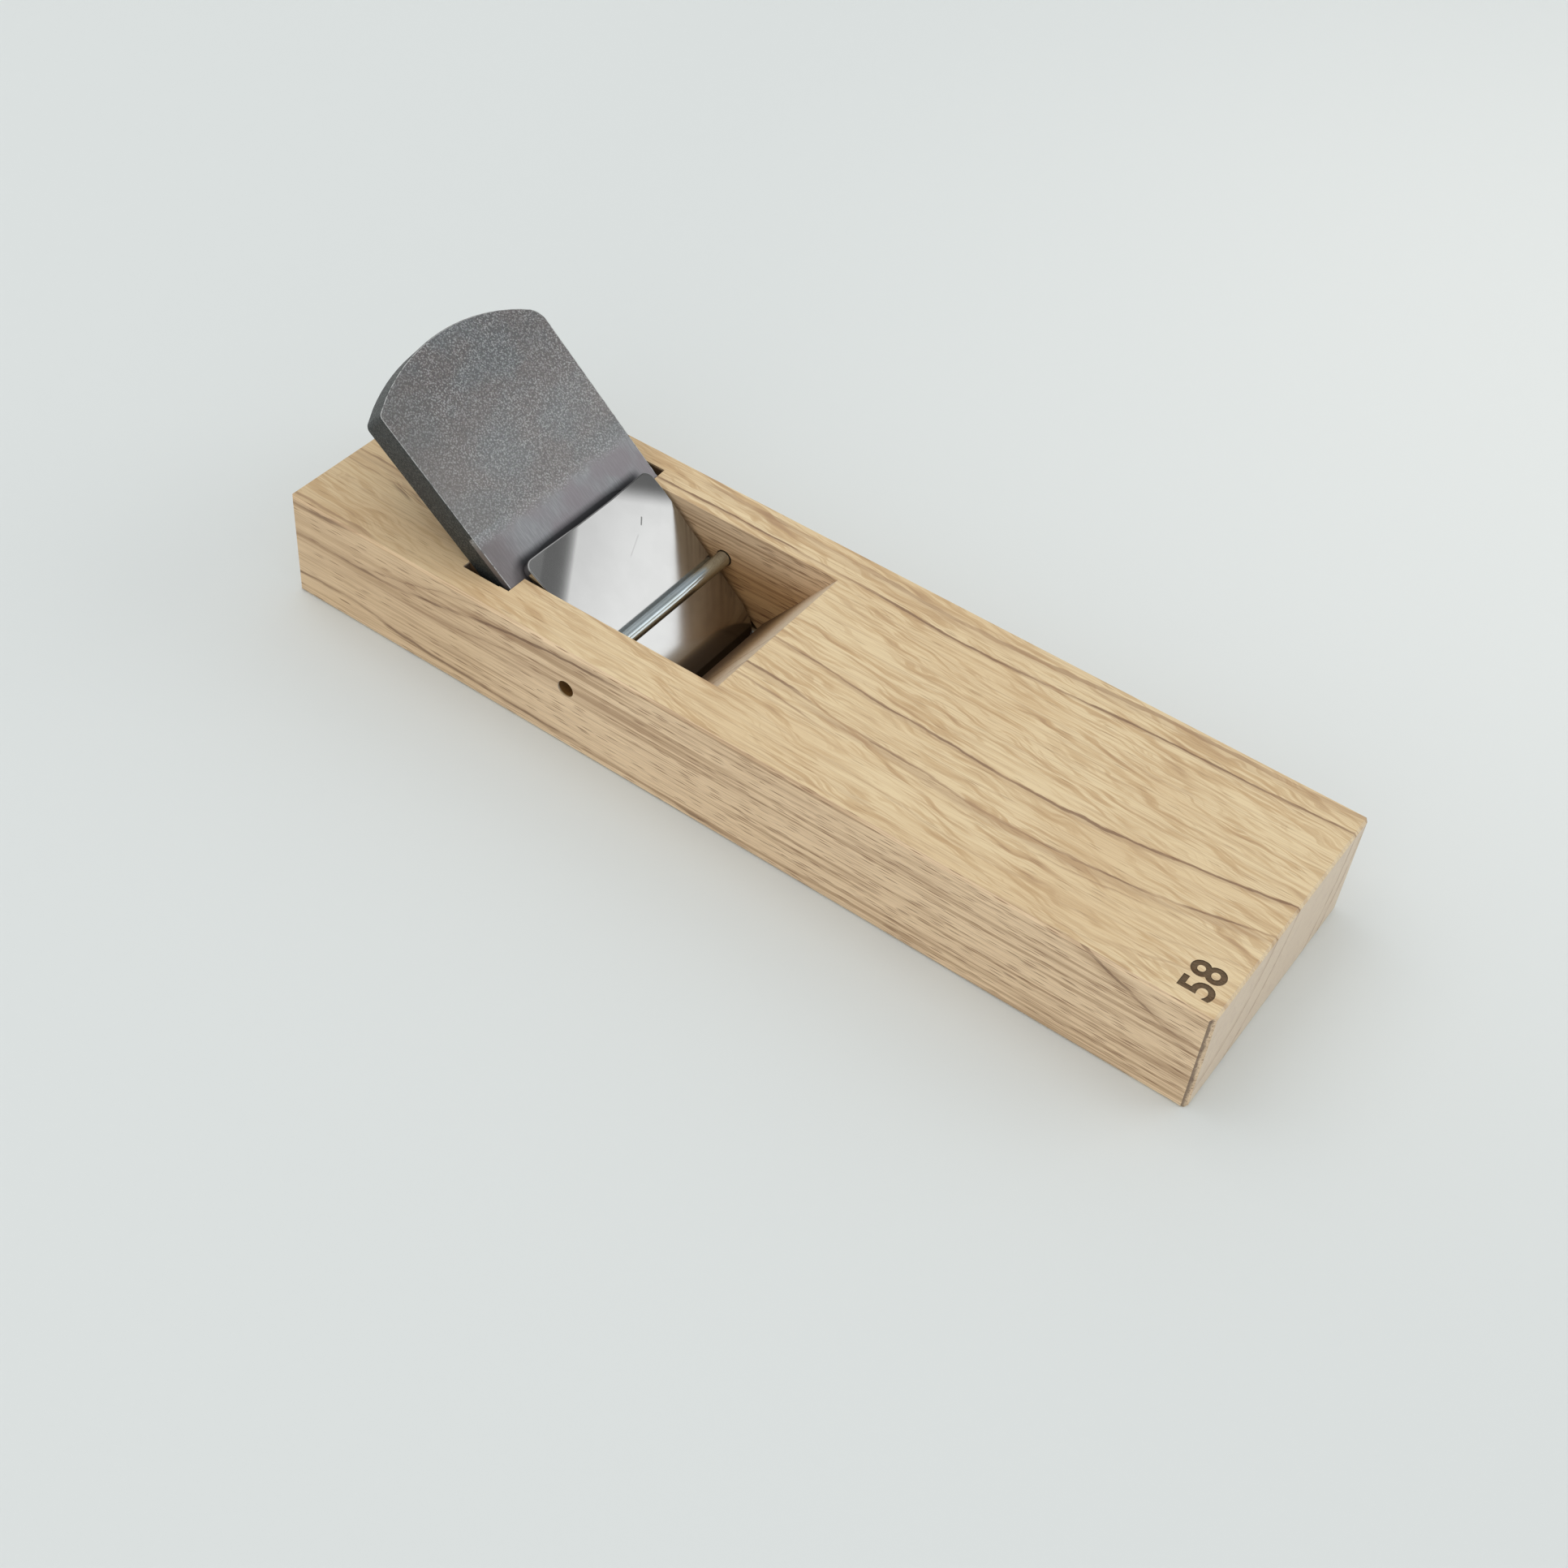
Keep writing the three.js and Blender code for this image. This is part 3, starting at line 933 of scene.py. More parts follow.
fibres = noise(figure, place, (0.06, 4.0, 4.0), detail=3)
streaks = noise(figure, place, (0.015, 1.1, 1.1), detail=3)
clouds = noise(figure, place, (0.02, 0.06, 0.06))
smoke = noise(figure, place, (0.014, 0.11, 0.2), detail=4)
drift = maths(figure, "MULTIPLY", apart["X"], flame_slant)
sway = noise(figure, place, (0.05, 0.15, 0.15))
sway = maths(figure, "MULTIPLY_ADD", sway, flame_sway, drift)
swayed = vector_maths(figure, "ADD", place, put(figure, "CombineXYZ", Y=sway).outputs[0])
flames = noise(figure, swayed, (0.05, 0.6, 0.4), detail=4, distortion=0.3)
wisps = noise(figure, swayed, (0.11, 1.5, 1.0), detail=3, distortion=0.3)
broad = noise(figure, swayed, (0.03, 0.15, 0.15), detail=2)
fine_ring = maths(figure, "FRACT", maths(figure, "DIVIDE", grown["Distance"], fine_ring_gap))
print("noises of the figure:", sum(node.type == "TEX_NOISE" for node in figure.nodes))

# %% Layers of the figure
def tint(tree, mask, under, over, mode="MIX"):
    """Lays one colour over another where a mask is white"""
    node = put(tree, "Mix", {"data_type": "RGBA", "blend_type": mode})
    for index, value in ((0, mask), (6, under), (7, over)):
        feed(tree, node.inputs[index], value)
    return node.outputs[2]


knots = ((-109, -28), (-103, -26), (-92, -24), (-74, -31.5))
flat_cut = by_side(1, 0.12)
tone = tint(figure, ramp_between(figure, clouds, 0.35, 0.7, 0, 0.45), oak_pale, oak_warm)
tone = tint(figure, times(figure, on_side, 0.85), tone, oak_side)
crowded = times(figure, flat_cut, ramp_between(figure, broad, 0.35, 0.55, 0.45, 1.0))
weathered = ramp_between(figure, apart["X"], -115, -60, 0.2, 0.6)
for mask, over in (
    (ramp_between(figure, apart["X"], -75, -50, 0.3, 0), oak_tan),
    (ramp_between(figure, streaks, 0.48, 0.7, 0, 0.35), oak_tan),
    (times(figure, ramp_between(figure, flames, 0.5, 0.61, 0, 0.75), crowded), oak_tan),
    (times(figure, ramp_between(figure, wisps, 0.51, 0.63, 0, 0.6), crowded), oak_tan),
    (times(figure, ramp_between(figure, flames, 0.6, 0.72, 0, 0.5), crowded), oak_brown),
    (times(figure, ramp_between(figure, fine_ring, 0.7, 0.98), by_side(0.08, 0.1)), oak_brown),
    (times(figure, ramp_between(figure, smoke, 0.5, 0.72, 0, 0.28), on_side), oak_brown),
    (times(figure, ramp_between(figure, streaks, 0.5, 0.66, 0, weathered), on_side), oak_brown),
    (times(figure, ramp_between(figure, fibres, 0.47, 0.7), by_side(0.35, 0.6)), oak_brown),
):
    tone = tint(figure, mask, tone, over)
knotty = 0.0
for x, y in knots:
    from_knot = vector_maths(figure, "SUBTRACT", swayed, (x, y, 0))
    from_knot = vector_maths(figure, "MULTIPLY", from_knot, (0.4, 1, 0))
    knot = ramp_between(figure, vector_maths(figure, "LENGTH", from_knot), 0.3, 2.4, 0.75, 0)
    knotty = maths(figure, "MAXIMUM", knotty, knot)
knotty = times(figure, knotty, ramp_between(figure, wisps, 0.4, 0.6), flat_cut)
tone = tint(figure, knotty, tone, oak_line)
tone = tint(figure, times(figure, on_end, 0.8), tone, oak_end)
print("oak figure:", len(figure.nodes), "nodes so far")

# %% Ring lines and pores
pore_depth = 0.35
line_depth = 0.3


def cells(tree, place, scale):
    """Random cells; the node gives the distance to a cell's middle and a colour for each cell"""
    stretched = vector_maths(tree, "MULTIPLY", place, scale)
    return put(tree, "TexVoronoi", Vector=stretched, Scale=1.0)


broken = noise(figure, place, (0.025, 0.3, 0.3), detail=5)
line = put(figure, "Mix", Factor=on_side, A=grown["Line"], B=grown["Side line"]).outputs[0]
line = times(
    figure, line, ramp_between(figure, broken, 0.36, 0.56, 0.45, 1.0),
    ramp_between(figure, on_end, 0, 1, 1, 0.6))
tone = tint(figure, ramp_between(figure, line, 0.0, 0.5, 0, 0.55), tone, oak_brown)
tone = tint(figure, ramp_between(figure, line, 0.42, 1.0, 0, 0.8), tone, oak_line)

pore_cell = cells(figure, place, (0.13, 2.1, 2.1))
chance = put(figure, "SeparateColor", Color=pore_cell.outputs["Color"]).outputs[0]
side_crowd = ramp_between(figure, apart["X"], -90, 40, 0.4, 0.9)
crowd = put(figure, "Mix", Factor=on_side, A=0.14, B=side_crowd).outputs[0]
thin = ramp_between(figure, pore_cell.outputs["Distance"], 0.16, 0.34, 1, 0)
pores = times(figure, maths(figure, "LESS_THAN", chance, crowd), thin)
tone = tint(figure, times(figure, pores, by_side(0.35, 0.7)), tone, oak_pore)

height = maths(
    figure, "SUBTRACT", times(figure, fibres, 0.5), times(figure, pores, pore_depth))
height = maths(figure, "SUBTRACT", height, times(figure, line, line_depth))
feed(figure, result["Height"], height)
print("relief: pores", pore_depth, "and ring lines", line_depth, "of the grain's depth")

# %% [markdown]
# Inside the throat little light reaches the wood, and that shade is painted into its colour. The
# walls darken from the top down, the wall in front of the blade most. Each of these is a mask of
# places, laid over the figure by multiplying.

# %% Painted throat shade
throat_side = 31.5
throat_front = 34.0
throat_back = -80.0
walls_dark_by = 16.0
walls_pale_by = 1.0
deep_from = 24.0
deep_to = 8.0
top_face = top / MM

from_middle = maths(figure, "ABSOLUTE", apart["Y"])
within = times(
    figure, maths(figure, "LESS_THAN", from_middle, throat_side),
    maths(figure, "LESS_THAN", apart["X"], throat_front),
    maths(figure, "GREATER_THAN", apart["X"], throat_back),
    ramp_between(figure, apart["Z"], 0.05, 0.5))
shaded = ramp_between(
    figure, apart["Z"], top_face - walls_dark_by, top_face - walls_pale_by, 0.95, 0)
# Painted shade: the walls of the throat darken from the top down.
tone = tint(figure, times(figure, within, shaded), tone, oak_throat_shade, "MULTIPLY")
deep = ramp_between(figure, apart["Z"], deep_to, deep_from, 0.95, 0)
headward = ramp_between(figure, facing_parts["X"], -0.3, -0.1, 1, 0)
# Painted shade: lower down, the wall in front of the blade darkens more.
tone = tint(figure, times(figure, within, deep, headward), tone, oak_deep_shade, "MULTIPLY")
print("throat walls darken over", walls_dark_by - walls_pale_by, "mm")

# %% [markdown]
# The grooves are darkened just behind the blade with painted shade, and the wall of the rod
# hole is darker brown just inside the side face.

# %% Grooves and hole
groove_inner = 26.0
side_face = block_high.y / MM
hole_gap = 0.36
front_way = Vector((sin(slope), 0, cos(slope)))

off_blade = vector_maths(figure, "DOT_PRODUCT", place, front_way)
blade_front = edge.dot(front_way) / MM
# Painted shade in the grooves, just behind the blade and just under the top.
groove_shade = times(
    figure, within, ramp_between(figure, off_blade, blade_front + 0.2, blade_front + 1.0, 0.9, 0),
    ramp_between(figure, apart["Z"], top_face - 0.7, top_face - 0.2, 1, 0),
    maths(figure, "GREATER_THAN", from_middle, groove_inner))
tone = tint(figure, groove_shade, tone, oak_groove_shade, "MULTIPLY")

from_rod = vector_maths(figure, "SUBTRACT", place, tuple(rod_middle / MM))
from_rod = vector_maths(figure, "LENGTH", vector_maths(figure, "MULTIPLY", from_rod, (1, 0, 1)))
bored = times(
    figure, ramp_between(figure, from_middle, side_face - 0.7, side_face - 0.1, 1, 0),
    maths(figure, "GREATER_THAN", from_middle, throat_side),
    maths(figure, "LESS_THAN", from_rod, rod_radius / MM + hole_gap))
tone = tint(figure, bored, tone, oak_bored, "MULTIPLY")
feed(figure, result["Colour"], tone)
print("oak figure:", len(figure.nodes), "nodes")

# %% [markdown]
# Three finishes share that figure: the planed oak, the oak burnt by the marking iron, and the
# corner arris that a hot or grimy tool has darkened. A finish is a material with one shader. It
# gets a colour and a roughness, and the height of its raised grain bends its normal.

# %% Planed oak
grain_depth = 0.06 * MM


def new_finish(name, **constants):
    """A material with one Principled shader, whose plain values are set on its own sockets"""
    material = bpy.data.materials.new(name)
    material.use_nodes = True
    tree = material.node_tree
    shader = tree.nodes["Principled BSDF"]
    for label, value in constants.items():
        shader.inputs[label.replace("_", " ")].default_value = value
    where = put(tree, "TexCoord")
    millimetres = vector_maths(tree, "MULTIPLY", where.outputs["Object"], (1000, 1000, 1000))
    return material, tree, shader, millimetres, where.outputs["Normal"]


def coat(tree, shader, base, roughness):
    """Feeds a colour and a roughness to the shader"""
    feed(tree, shader.inputs["Base Color"], base)
    feed(tree, shader.inputs["Roughness"], roughness)


def relief(tree, shader, height, distance):
    """Feeds a height to the shader's normal; the distance is how deep one unit of height is"""
    bump = put(tree, "Bump", Height=height, Distance=distance, Strength=1.0)
    tree.links.new(bump.outputs[0], shader.inputs["Normal"])


def oak_finish(name, **constants):
    """A finish that starts from the oak figure and its raised grain"""
    material, tree, shader, place, facing_way = new_finish(name, **constants)
    wood = use_effect(tree, figure, Place=place, Facing=facing_way)
    relief(tree, shader, wood["Height"], grain_depth)
    return material, tree, shader, place, wood


oak, tree, shader, place, wood = oak_finish(
    "planed_oak", Roughness=0.62, Specular_IOR_Level=0.35)
coat(tree, shader, wood["Colour"], ramp_between(tree, wood["Height"], -0.4, 0.4, 0.8, 0.55))
print(oak.name, "has", len(tree.nodes), "nodes of its own")

# %% Burnt and scorched oak
burnt_share = 0.88


def axis(tree, vector, name):
    """The X, Y or Z of a vector"""
    return put(tree, "SeparateXYZ", Vector=vector).outputs[name]


burnt, tree, shader, place, wood = oak_finish("burnt_oak", Specular_IOR_Level=0.2)
char = ramp_between(tree, noise(tree, place, (1.5, 4, 4), detail=3), 0.35, 0.7)
charred = tint(tree, char, colour(52, 36, 24), colour(88, 64, 44))
charred = tint(tree, burnt_share, wood["Colour"], charred)
coat(tree, shader, charred, ramp_between(tree, char, 0, 1, 0.9, 0.75))

scorched, tree, shader, place, wood = oak_finish("scorched_arris", Specular_IOR_Level=0.3)
patchy = noise(tree, place, (0.9, 0.9, 0.35), detail=3)
across = maths(tree, "SUBTRACT", axis(tree, place, "Y"), block_low.y / MM)
across = maths(tree, "ADD", across, maths(tree, "MULTIPLY_ADD", patchy, -1.2, 0.6))
patchy = ramp_between(tree, across, 0.3, 0.9, 0.75, 0.0)
dark_corner = tint(tree, patchy, wood["Colour"], colour(104, 84, 72))
coat(tree, shader, dark_corner, ramp_between(tree, patchy, 0, 1, 0.8, 0.6))
print("made", burnt.name, "and", scorched.name)

# %% [markdown]
# A face of the block is given the number of its finish by its place: just under the top within
# the two digits, or on the near toe corner.

# %% Dress the block
def dress(piece, *finishes):
    """Gives a piece its finishes, the first one on all of its faces"""
    piece.data.materials.clear()
    for finish in finishes:
        piece.data.materials.append(finish)


dress(block, oak, burnt, scorched)
for face in block.data.polygons:
    in_mark = (
        top - 2 * digit_depth < face.center.z < top - touch
        and digit_foot - digit_height - touch < face.center.x < digit_foot + touch
        and digit_side - touch < face.center.y < digit_side + digit_width + touch
    )
    on_corner = face.normal.x > 0.5 and face.normal.y < -0.5
    face.material_index = 1 if in_mark else 2 if on_corner else 0
for number, finish in enumerate(block.data.materials):
    count = sum(face.material_index == number for face in block.data.polygons)
    print(finish.name, "on", count, "faces")

# %% [markdown]
# Forged iron keeps the skin that scale and hammer left on it: a pebbled, leathery surface of half
# a millimetre grain, dark grey with bluish and brownish patches, rubbed bright on its highest
# points, where painted glints lighten it as well. The skin is a shared effect, because the steel
# facing still has some of it round its hollow. Cells give the pebbles, and finer noise roughens
# them.

# %% Forge skin
skin, entry, result = new_effect(
    "forge_skin",
    [("Place", "Vector"), ("Pebbles per millimetre", "Float")],
    [("Colour", "Color"), ("Height", "Float"), ("Roughness", "Float")],
)
place = entry["Place"]
scale = entry["Pebbles per millimetre"]
scales = put(skin, "CombineXYZ", X=scale, Y=scale, Z=scale).outputs[0]
scaled = vector_maths(skin, "MULTIPLY", place, scales)
crumple = put(
    skin, "TexNoise", Vector=scaled, Scale=1.0, Detail=4.0, Roughness=0.6, Distortion=0.5)
pebble = put(skin, "TexVoronoi", {"feature": "SMOOTH_F1"}, Vector=scaled, Scale=0.9, Smoothness=0.8)
dome = ramp_between(skin, pebble.outputs["Distance"], 0.0, 0.75, 1, 0)
height = maths(
    skin, "ADD", times(skin, dome, 0.35), times(skin, crumple.outputs[0], 0.9))
patches = noise(skin, place, (0.07, 0.05, 0.07), detail=3)
rub = noise(skin, place, (0.13, 0.13, 0.13), detail=2)
bluish, brownish = colour(125, 128, 129), colour(127, 122, 120)
base = tint(skin, ramp_between(skin, patches, 0.4, 0.6), bluish, brownish)
hues = put(skin, "TexNoise", Vector=scaled, Scale=0.5, Detail=2.0).outputs["Color"]
base = tint(skin, 0.07, base, hues, "OVERLAY")
base = tint(skin, ramp_between(skin, height, 0.45, 0.62, 0.55, 0), base, colour(92, 92, 94))
# Rubbed bright and painted glints: the highest points are lightened.
worn_and_glints = times(
    skin, ramp_between(skin, height, 0.58, 0.78), ramp_between(skin, rub, 0.35, 0.6, 0.5, 0.8))
base = tint(skin, worn_and_glints, base, colour(183, 185, 185))
feed(skin, result["Colour"], base)
feed(skin, result["Height"], height)
feed(skin, result["Roughness"], ramp_between(skin, height, 0.35, 0.8, 0.58, 0.36))
print("forge skin:", len(skin.nodes), "nodes")

# %% [markdown]
# Four metal finishes follow: the forged iron, the steel facing, the thin bright arris that
# handling has rubbed on the blade, and the freshly ground bevel under it. Along the blade, the
# upper end of the steel fades into the iron's skin, because the weld there is hammered out. Both
# metals are browner towards the near cheek. The iron is lighter towards the edge, partly rubbed
# and partly a painted sheen, and its faces that do not face front are darkened with painted
# shade. A painted shadow darkens the steel in a band just past the back end of the chip breaker.

# %% Forged iron
pebbles = 2.4
skin_depth = 0.2 * MM
# Lightens rubbed iron, and also paints the sheen of the window on it.
rub_and_sheen = colour(84, 83, 82)
# Painted shade for the faces of the iron that do not face front.
iron_side_shade = colour(42, 45, 42)
iron_brown = colour(112, 104, 97)


def up_the_blade(tree, place):
    """How many millimetres a point is from the cutting edge, measured along the blade"""
    along = vector_maths(tree, "DOT_PRODUCT", place, slide)
    return maths(tree, "SUBTRACT", along, edge.dot(slide) / MM)


iron, tree, shader, place, facing_way = new_finish("hammered_iron", Metallic=0.5)
forged = use_effect(tree, skin, Place=place, Pebbles_per_millimetre=pebbles)
on_front = vector_maths(tree, "DOT_PRODUCT", facing_way, front_way)
on_front = ramp_between(tree, on_front, 0.5, 0.9)
# Painted shade: faces that do not face front, such as the sides in the grooves, get a near-black
# copy of the skin.
side_shade = tint(tree, 0.85, forged["Colour"], iron_side_shade)
up = up_the_blade(tree, place)
near_side = ramp_between(tree, axis(tree, place, "Y"), -27, -8, 0.3, 0)
browned = tint(tree, near_side, forged["Colour"], iron_brown)
# Towards the edge the iron is lightened: rubbing, and a painted sheen.
rubbed_and_sheen_low = tint(tree, ramp_between(tree, up, 100, 70), browned, rub_and_sheen, "SCREEN")
coat(tree, shader, tint(tree, on_front, side_shade, rubbed_and_sheen_low), forged["Roughness"])
relief(tree, shader, forged["Height"], skin_depth)
print(iron.name, "has", len(tree.nodes), "nodes")

# %% Steel facing
facing_relief = 0.1 * MM
steel_brown = colour(112, 102, 102)
# The colour of the painted shadow behind the chip breaker.
breaker_shadow_tone = colour(46, 47, 50)

steel, tree, shader, place, facing_way = new_finish("hollow_ground_steel", Metallic=0.55)
up = up_the_blade(tree, place)
across = axis(tree, place, "Y")
ragged = noise(tree, place, (0.25, 0.25, 0.25), detail=3)
ragged = maths(tree, "ADD", up, maths(tree, "MULTIPLY_ADD", ragged, 3.0, -1.5))
skin_mask = ramp_between(tree, ragged, 57.5, 61.5)
forged = use_effect(tree, skin, Place=place, Pebbles_per_millimetre=pebbles)
strokes = noise(tree, place, (0.3, 3.0, 0.3), detail=3)
smooth = tint(
    tree, ramp_between(tree, strokes, 0.35, 0.7), colour(142, 143, 145), colour(160, 161, 163))
violet = noise(tree, place, (0.08, 0.08, 0.08), detail=2)
violet = ramp_between(tree, violet, 0.42, 0.62, 0, 0.6)
smooth = tint(tree, violet, smooth, colour(141, 132, 136))
smooth = tint(tree, ramp_between(tree, across, -27, -15, 0.65, 0), smooth, steel_brown)
# The skin on the steel gets the same rubbing and painted sheen as the iron.
lifted_skin = tint(tree, 1.0, forged["Colour"], rub_and_sheen, "SCREEN")
dressed = tint(tree, skin_mask, smooth, lifted_skin)
beside = maths(tree, "ABSOLUTE", maths(tree, "SUBTRACT", across, (edge.y + breaker_side) / MM))
beside = ramp_between(tree, beside, breaker_half / MM - 2.5, breaker_half / MM + 1.5, 1, 0)
# Painted shadow: a dark band on the steel just past the back end of the chip breaker.
painted_breaker_shadow = times(tree, ramp_between(tree, up, 50.4, 53.0, 0.92, 0), beside)
roughness = maths(tree, "MULTIPLY_ADD", strokes, 0.12, 0.36)
coat(tree, shader, tint(tree, painted_breaker_shadow, dressed, breaker_shadow_tone), roughness)
mixed = times(tree, forged["Height"], skin_mask)
relief(tree, shader, maths(tree, "MULTIPLY_ADD", strokes, 0.2, mixed), facing_relief)
print(steel.name, "has", len(tree.nodes), "nodes")

# %% Arris and bevel
arris_relief = 0.03 * MM
honing_relief = 0.015 * MM

arris, tree, shader, place, facing_way = new_finish("rubbed_arris", Metallic=0.9)
rubbed = ramp_between(tree, noise(tree, place, (1.1, 1.1, 1.1), detail=4), 0.36, 0.54)
rubbed_tone = tint(tree, rubbed, colour(136, 136, 135), colour(206, 206, 204))
coat(tree, shader, rubbed_tone, ramp_between(tree, rubbed, 0, 1, 0.5, 0.3))
relief(tree, shader, noise(tree, place, (3, 3, 3), detail=3), arris_relief)

ground, tree, shader, place, facing_way = new_finish("ground_bevel", Metallic=0.95)
honing = noise(tree, place, (0.5, 9.0, 0.5), detail=3)
honed_tone = tint(tree, honing, colour(150, 150, 150), colour(196, 196, 196))
coat(tree, shader, honed_tone, ramp_between(tree, honing, 0.3, 0.7, 0.32, 0.22))
relief(tree, shader, honing, honing_relief)
print("finishes of the blade:", [finish.name for finish in (iron, steel, arris, ground)])

# %% [markdown]
# The arrises are told from the flats by their shape: such a face is long and very narrow, it
# faces neither along nor across the blade, and it lies on the outside or above the facing.

# %% Dress the blade
narrow = 0.2 * MM
bevel_way = Matrix.Rotation(slope, 3, "Y") @ Vector((sin(bevel_angle), 0, -cos(bevel_angle)))


def dress_blade(piece, main):
    """Gives a metal of the blade its finish, with rubbed arrises and a ground bevel"""
    dress(piece, main, arris, ground)
    for face in piece.data.polygons:
        corners = [piece.data.vertices[index].co for index in face.vertices]
        around = sum((a - b).length for a, b in zip(corners, corners[1:] + corners[:1]))
        high_up = (face.center - edge).dot(slide) > facing_length
        outside = high_up or abs(face.center.y - edge.y) > blade_half - hollow_rim
        slanted = 0.5 < abs(face.normal.dot(front_way)) < 0.995
        face.material_index = 1 if outside and slanted and face.area < narrow * around else 0
        if face.normal.dot(bevel_way) > 0.99:
            face.material_index = 2
    counts = [sum(face.material_index == k for face in piece.data.polygons) for k in range(3)]
    print(piece.name, "faces with the main, arris and bevel finish:", counts)


dress_blade(blade, iron)
dress_blade(facing, steel)

# %% [markdown]
# The chip breaker is polished nearly to a mirror, so what it shows is mostly the room. Its own
# part is fine: a hint of haze, polishing strokes along its length, and a short scratch with a
# fainter one below it. A scratch is given by its middle, its direction, half its length and its
# strength. The rod has the bluish shine of zinc plating on drawn wire, with faint die lines
# along it and duller cut ends.

# %% Polished steel
polish_relief = 0.002 * MM
scratched = colour(70, 70, 68)
scratches = (
    ((-58.0, 12.2, 29.7), (0.53, -0.71, -0.46), 1.2, 0.8),
    ((-55.2, 6.1, 27.3), (0.35, -0.89, -0.30), 3.4, 0.16),
)

polished, tree, shader, place, facing_way = new_finish("polished_steel", Metallic=1.0)
haze = ramp_between(tree, noise(tree, place, (0.12, 0.12, 0.12), detail=3), 0.35, 0.7)
strokes = noise(tree, place, (0.25, 6.0, 0.25), detail=3)
bright = tint(tree, haze, colour(168, 168, 166), colour(165, 165, 163))
for middle_of_it, way, half_length, strength in scratches:
    from_scratch = vector_maths(tree, "SUBTRACT", place, middle_of_it)
    away = vector_maths(tree, "LENGTH", from_scratch)
    aside = vector_maths(tree, "LENGTH", vector_maths(tree, "CROSS_PRODUCT", from_scratch, way))
    mark = times(
        tree, ramp_between(tree, aside, 0.1, 0.28, strength, 0),
        ramp_between(tree, away, 0.8 * half_length, 1.1 * half_length, 1, 0))
    bright = tint(tree, mark, bright, scratched)
coat(tree, shader, bright, maths(tree, "MULTIPLY_ADD", strokes, 0.04, 0.12))
relief(tree, shader, strokes, polish_relief)
dress(breaker, polished)
print(polished.name, "with", len(scratches), "scratches has", len(tree.nodes), "nodes")

# %% Zinc plate
zinc_relief = 0.0008 * MM
cut_tone = colour(104, 102, 98)

zinc, tree, shader, place, facing_way = new_finish("zinc_plate", Metallic=1.0)
cloudy = noise(tree, place, (0.25, 0.12, 0.25), detail=2)
dies = noise(tree, place, (4.0, 0.02, 4.0), detail=2)
plated = tint(
    tree, ramp_between(tree, cloudy, 0.35, 0.65), colour(206, 218, 222), colour(196, 206, 206))
cut_end = ramp_between(tree, maths(tree, "ABSOLUTE", axis(tree, facing_way, "Y")), 0.6, 0.9)
shine = ramp_between(tree, cloudy, 0.3, 0.7, 0.1, 0.13)
coat(
    tree, shader, tint(tree, cut_end, plated, cut_tone),
    maths(tree, "MULTIPLY_ADD", cut_end, 0.4, shine))
relief(tree, shader, dies, zinc_relief)
dress(rod, zinc)
print(zinc.name, "has", len(tree.nodes), "nodes")

# %% [markdown]
# The plane stands on a pale sweep: a flat floor that curves up into a wall all round, so that no
# horizon shows from any side. A profile of a straight run and a quarter round is spun into a
# bowl. A painted pool of light makes the paper a little paler in the background, round a point
# behind the plane.

# %% Pale sweep
floor_radius = 1300 * MM
wall_radius = 600 * MM
wall_steps = 12
bowl_sides = 96
sweep_weld = 0.1 * MM
glow_place = (190, 330, 0)
glow_inner = 80
glow_outer = 420

bpy.ops.mesh.primitive_plane_add(size=1, location=(0, 0, 0))
sweep = new_piece("pale_sweep")
pick(sweep, "VERT", anything)
bpy.ops.mesh.delete(type="VERT")
mesh = bmesh.from_edit_mesh(sweep.data)
profile = [(0.0, 0.0), (floor_radius / 2, 0.0), (floor_radius, 0.0)]
for step in range(1, wall_steps + 1):
    rise = radians(90 * step / wall_steps)
    profile.append((floor_radius + wall_radius * sin(rise), wall_radius * (1 - cos(rise))))
line = [mesh.verts.new((x, 0, z)) for x, z in profile]
for first, second in zip(line, line[1:]):
    mesh.edges.new((first, second))
bmesh.update_edit_mesh(sweep.data)
bpy.ops.mesh.select_all(action="SELECT")
bpy.ops.mesh.spin(steps=bowl_sides, angle=radians(360), center=(0, 0, 0), axis=(0, 0, 1))
bpy.ops.mesh.select_all(action="SELECT")
bpy.ops.mesh.remove_doubles(threshold=sweep_weld)
bpy.ops.mesh.normals_make_consistent(inside=True)
leave()
work_on(sweep)
bpy.ops.object.shade_smooth()

paper, tree, shader, place, facing_way = new_finish(
    "pale_paper", Roughness=0.85, Specular_IOR_Level=0.1)
from_glow = vector_maths(tree, "LENGTH", vector_maths(tree, "SUBTRACT", place, glow_place))
# Painted light: a soft pool of light on the paper round a point behind the plane.
painted_light_pool = ramp_between(tree, from_glow, glow_inner, glow_outer, 1, 0)
paper_tone = tint(tree, painted_light_pool, colour(221, 225, 223), colour(232, 235, 232))
feed(tree, shader.inputs["Base Color"], paper_tone)
dress(sweep, paper)
lowest = min(v.co.z for v in sweep.data.vertices)
print("sweep faces:", len(sweep.data.polygons), "lowest", round(lowest / MM, 2), "mm")

# %% [markdown]
# The light is soft and level. An even grey world fills from everywhere, a wide lamp overhead and
# a little behind gives the top faces their light and the floor its soft shadow, and two more
# soften the right and the near side. None of the lamps shows in mirrors. What the polished metal
# shows is the world, and for glossy rays that is a simple studio: a dim room, a far wall that is
# a little lighter, a pale ceiling that comes down behind the head, and one bright window low at
# the far right. The window is drawn by how far a direction points towards it, to its side and up.
# The picture is shown in the plain Standard view, because the colours were given as they look on
# screen.

# %% Mirrored studio
room_light = 0.76
mirrored_room = 0.16
mirrored_wall = 0.29
mirrored_ceiling = 0.9
mirrored_window = 2.1
window_azimuth = radians(38)

world = bpy.data.worlds.new("studio")
bpy.context.scene.world = world
world.use_nodes = True
tree = world.node_tree
direction = put(tree, "TexCoord").outputs["Generated"]
height = axis(tree, direction, "Z")


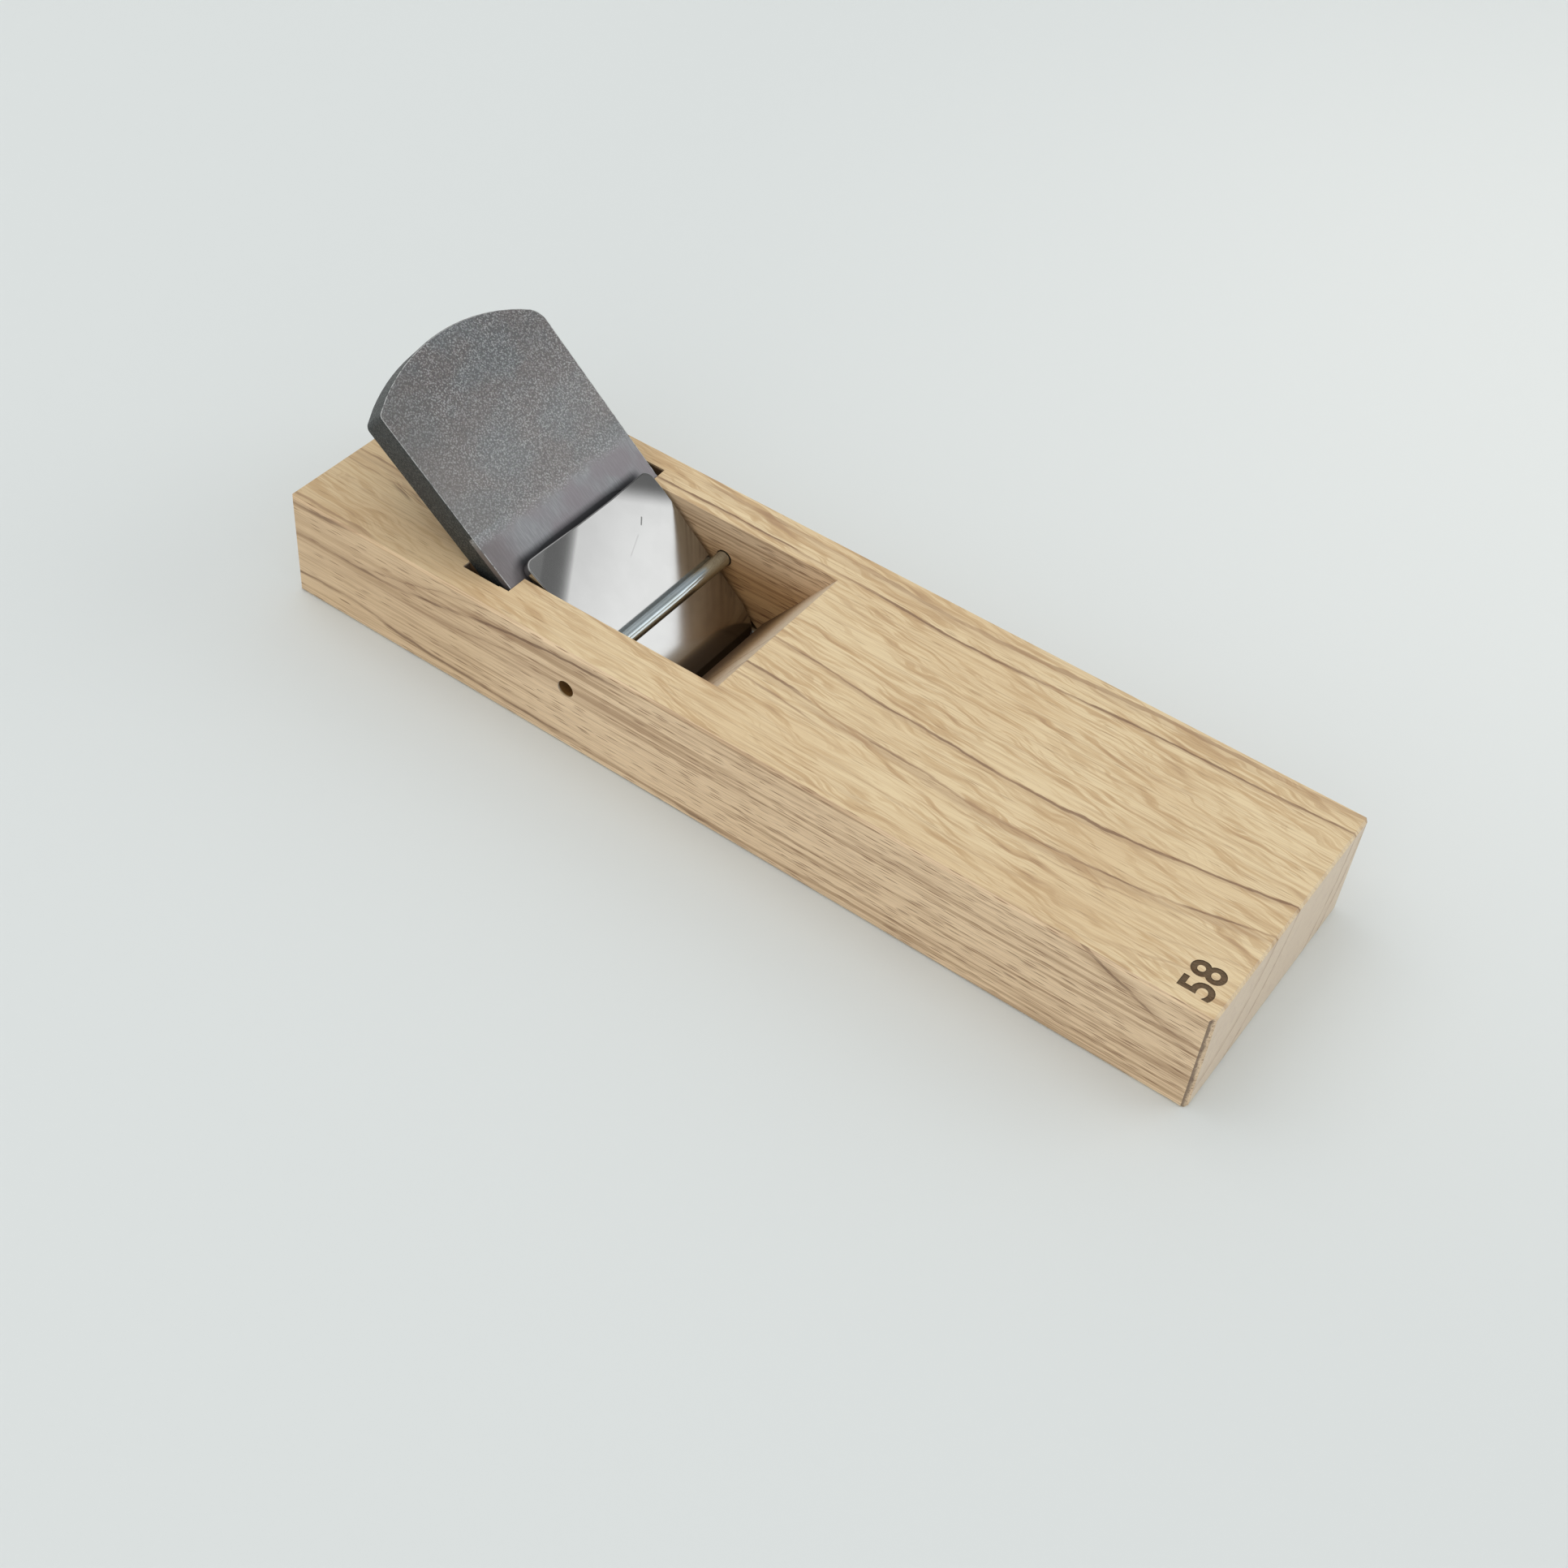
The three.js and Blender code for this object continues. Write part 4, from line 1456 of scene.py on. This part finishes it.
def facing_share(x, y):
    """How far a direction points along a level one"""
    return vector_maths(tree, "DOT_PRODUCT", direction, (x, y, 0))


onward = facing_share(cos(window_azimuth), sin(window_azimuth))
sideways = facing_share(-sin(window_azimuth), cos(window_azimuth))
print("the window stands at", round(degrees(window_azimuth)), "degrees")

# %% Window and ceiling
window = times(
    tree,
    ramp_between(tree, onward, 0.2, 0.35),
    ramp_between(tree, sideways, -0.42, -0.28),
    ramp_between(tree, sideways, 0.2, 0.4, 1, 0),
    ramp_between(tree, height, 0.26, 0.36),
    ramp_between(tree, height, 0.52, 0.68, 1, 0),
)
head_side = times(
    tree,
    ramp_between(tree, facing_share(1, 0), 0.1, 0.35, 1, 0),
    ramp_between(tree, facing_share(0, 1), 0.5, 0.7, 1, 0),
    ramp_between(tree, height, 0.35, 0.5),
)
ceiling = maths(tree, "MAXIMUM", ramp_between(tree, height, 0.79, 0.87), head_side)
mirrored = ramp_between(tree, onward, 0.5, 0.66, mirrored_room, mirrored_wall)
mirrored = put(tree, "Mix", Factor=ceiling, A=mirrored, B=mirrored_ceiling).outputs[0]
mirrored = put(tree, "Mix", Factor=window, A=mirrored, B=mirrored_window).outputs[0]
glossy = put(tree, "LightPath").outputs["Is Glossy Ray"]
strength = put(tree, "Mix", Factor=glossy, A=room_light, B=mirrored).outputs[0]
background = tree.nodes["Background"]
background.inputs["Color"].default_value = colour(252, 253, 255)
feed(tree, background.inputs["Strength"], strength)
print("world nodes:", len(tree.nodes))

# %% Lamps
def lamp(name, place, size, radiance):
    """A square lamp that looks at the plane; its power follows from how bright its face is"""
    made = bpy.data.lights.new(name, "AREA")
    made.size = size
    made.energy = radiance * size ** 2 * pi
    holder = bpy.data.objects.new(name, made)
    bpy.context.collection.objects.link(holder)
    holder.location = place
    holder.rotation_mode = "QUATERNION"
    holder.rotation_quaternion = (-Vector(place)).to_track_quat("-Z", "Y")
    holder.visible_glossy = False
    print(name, "lamp:", round(made.energy, 2), "watts")


lamp("overhead", (-0.75, -0.1, 1.45), 1.3, 0.95)
lamp("window", (1.2, 1.1, 0.85), 1.2, 1.2)
lamp("fill", (0.3, -1.6, 1.0), 1.4, 0.7)
bpy.context.scene.view_settings.view_transform = "Standard"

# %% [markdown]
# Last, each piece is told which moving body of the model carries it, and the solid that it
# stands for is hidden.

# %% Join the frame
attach(block, "block")
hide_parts("oak_block")
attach(rod, "block")
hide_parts("pressure_rod")
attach(blade, "blade")
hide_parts("blade_iron_body")
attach(facing, "blade")
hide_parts("blade_steel_facing")
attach(breaker, "chip_breaker")
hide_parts("chip_breaker")
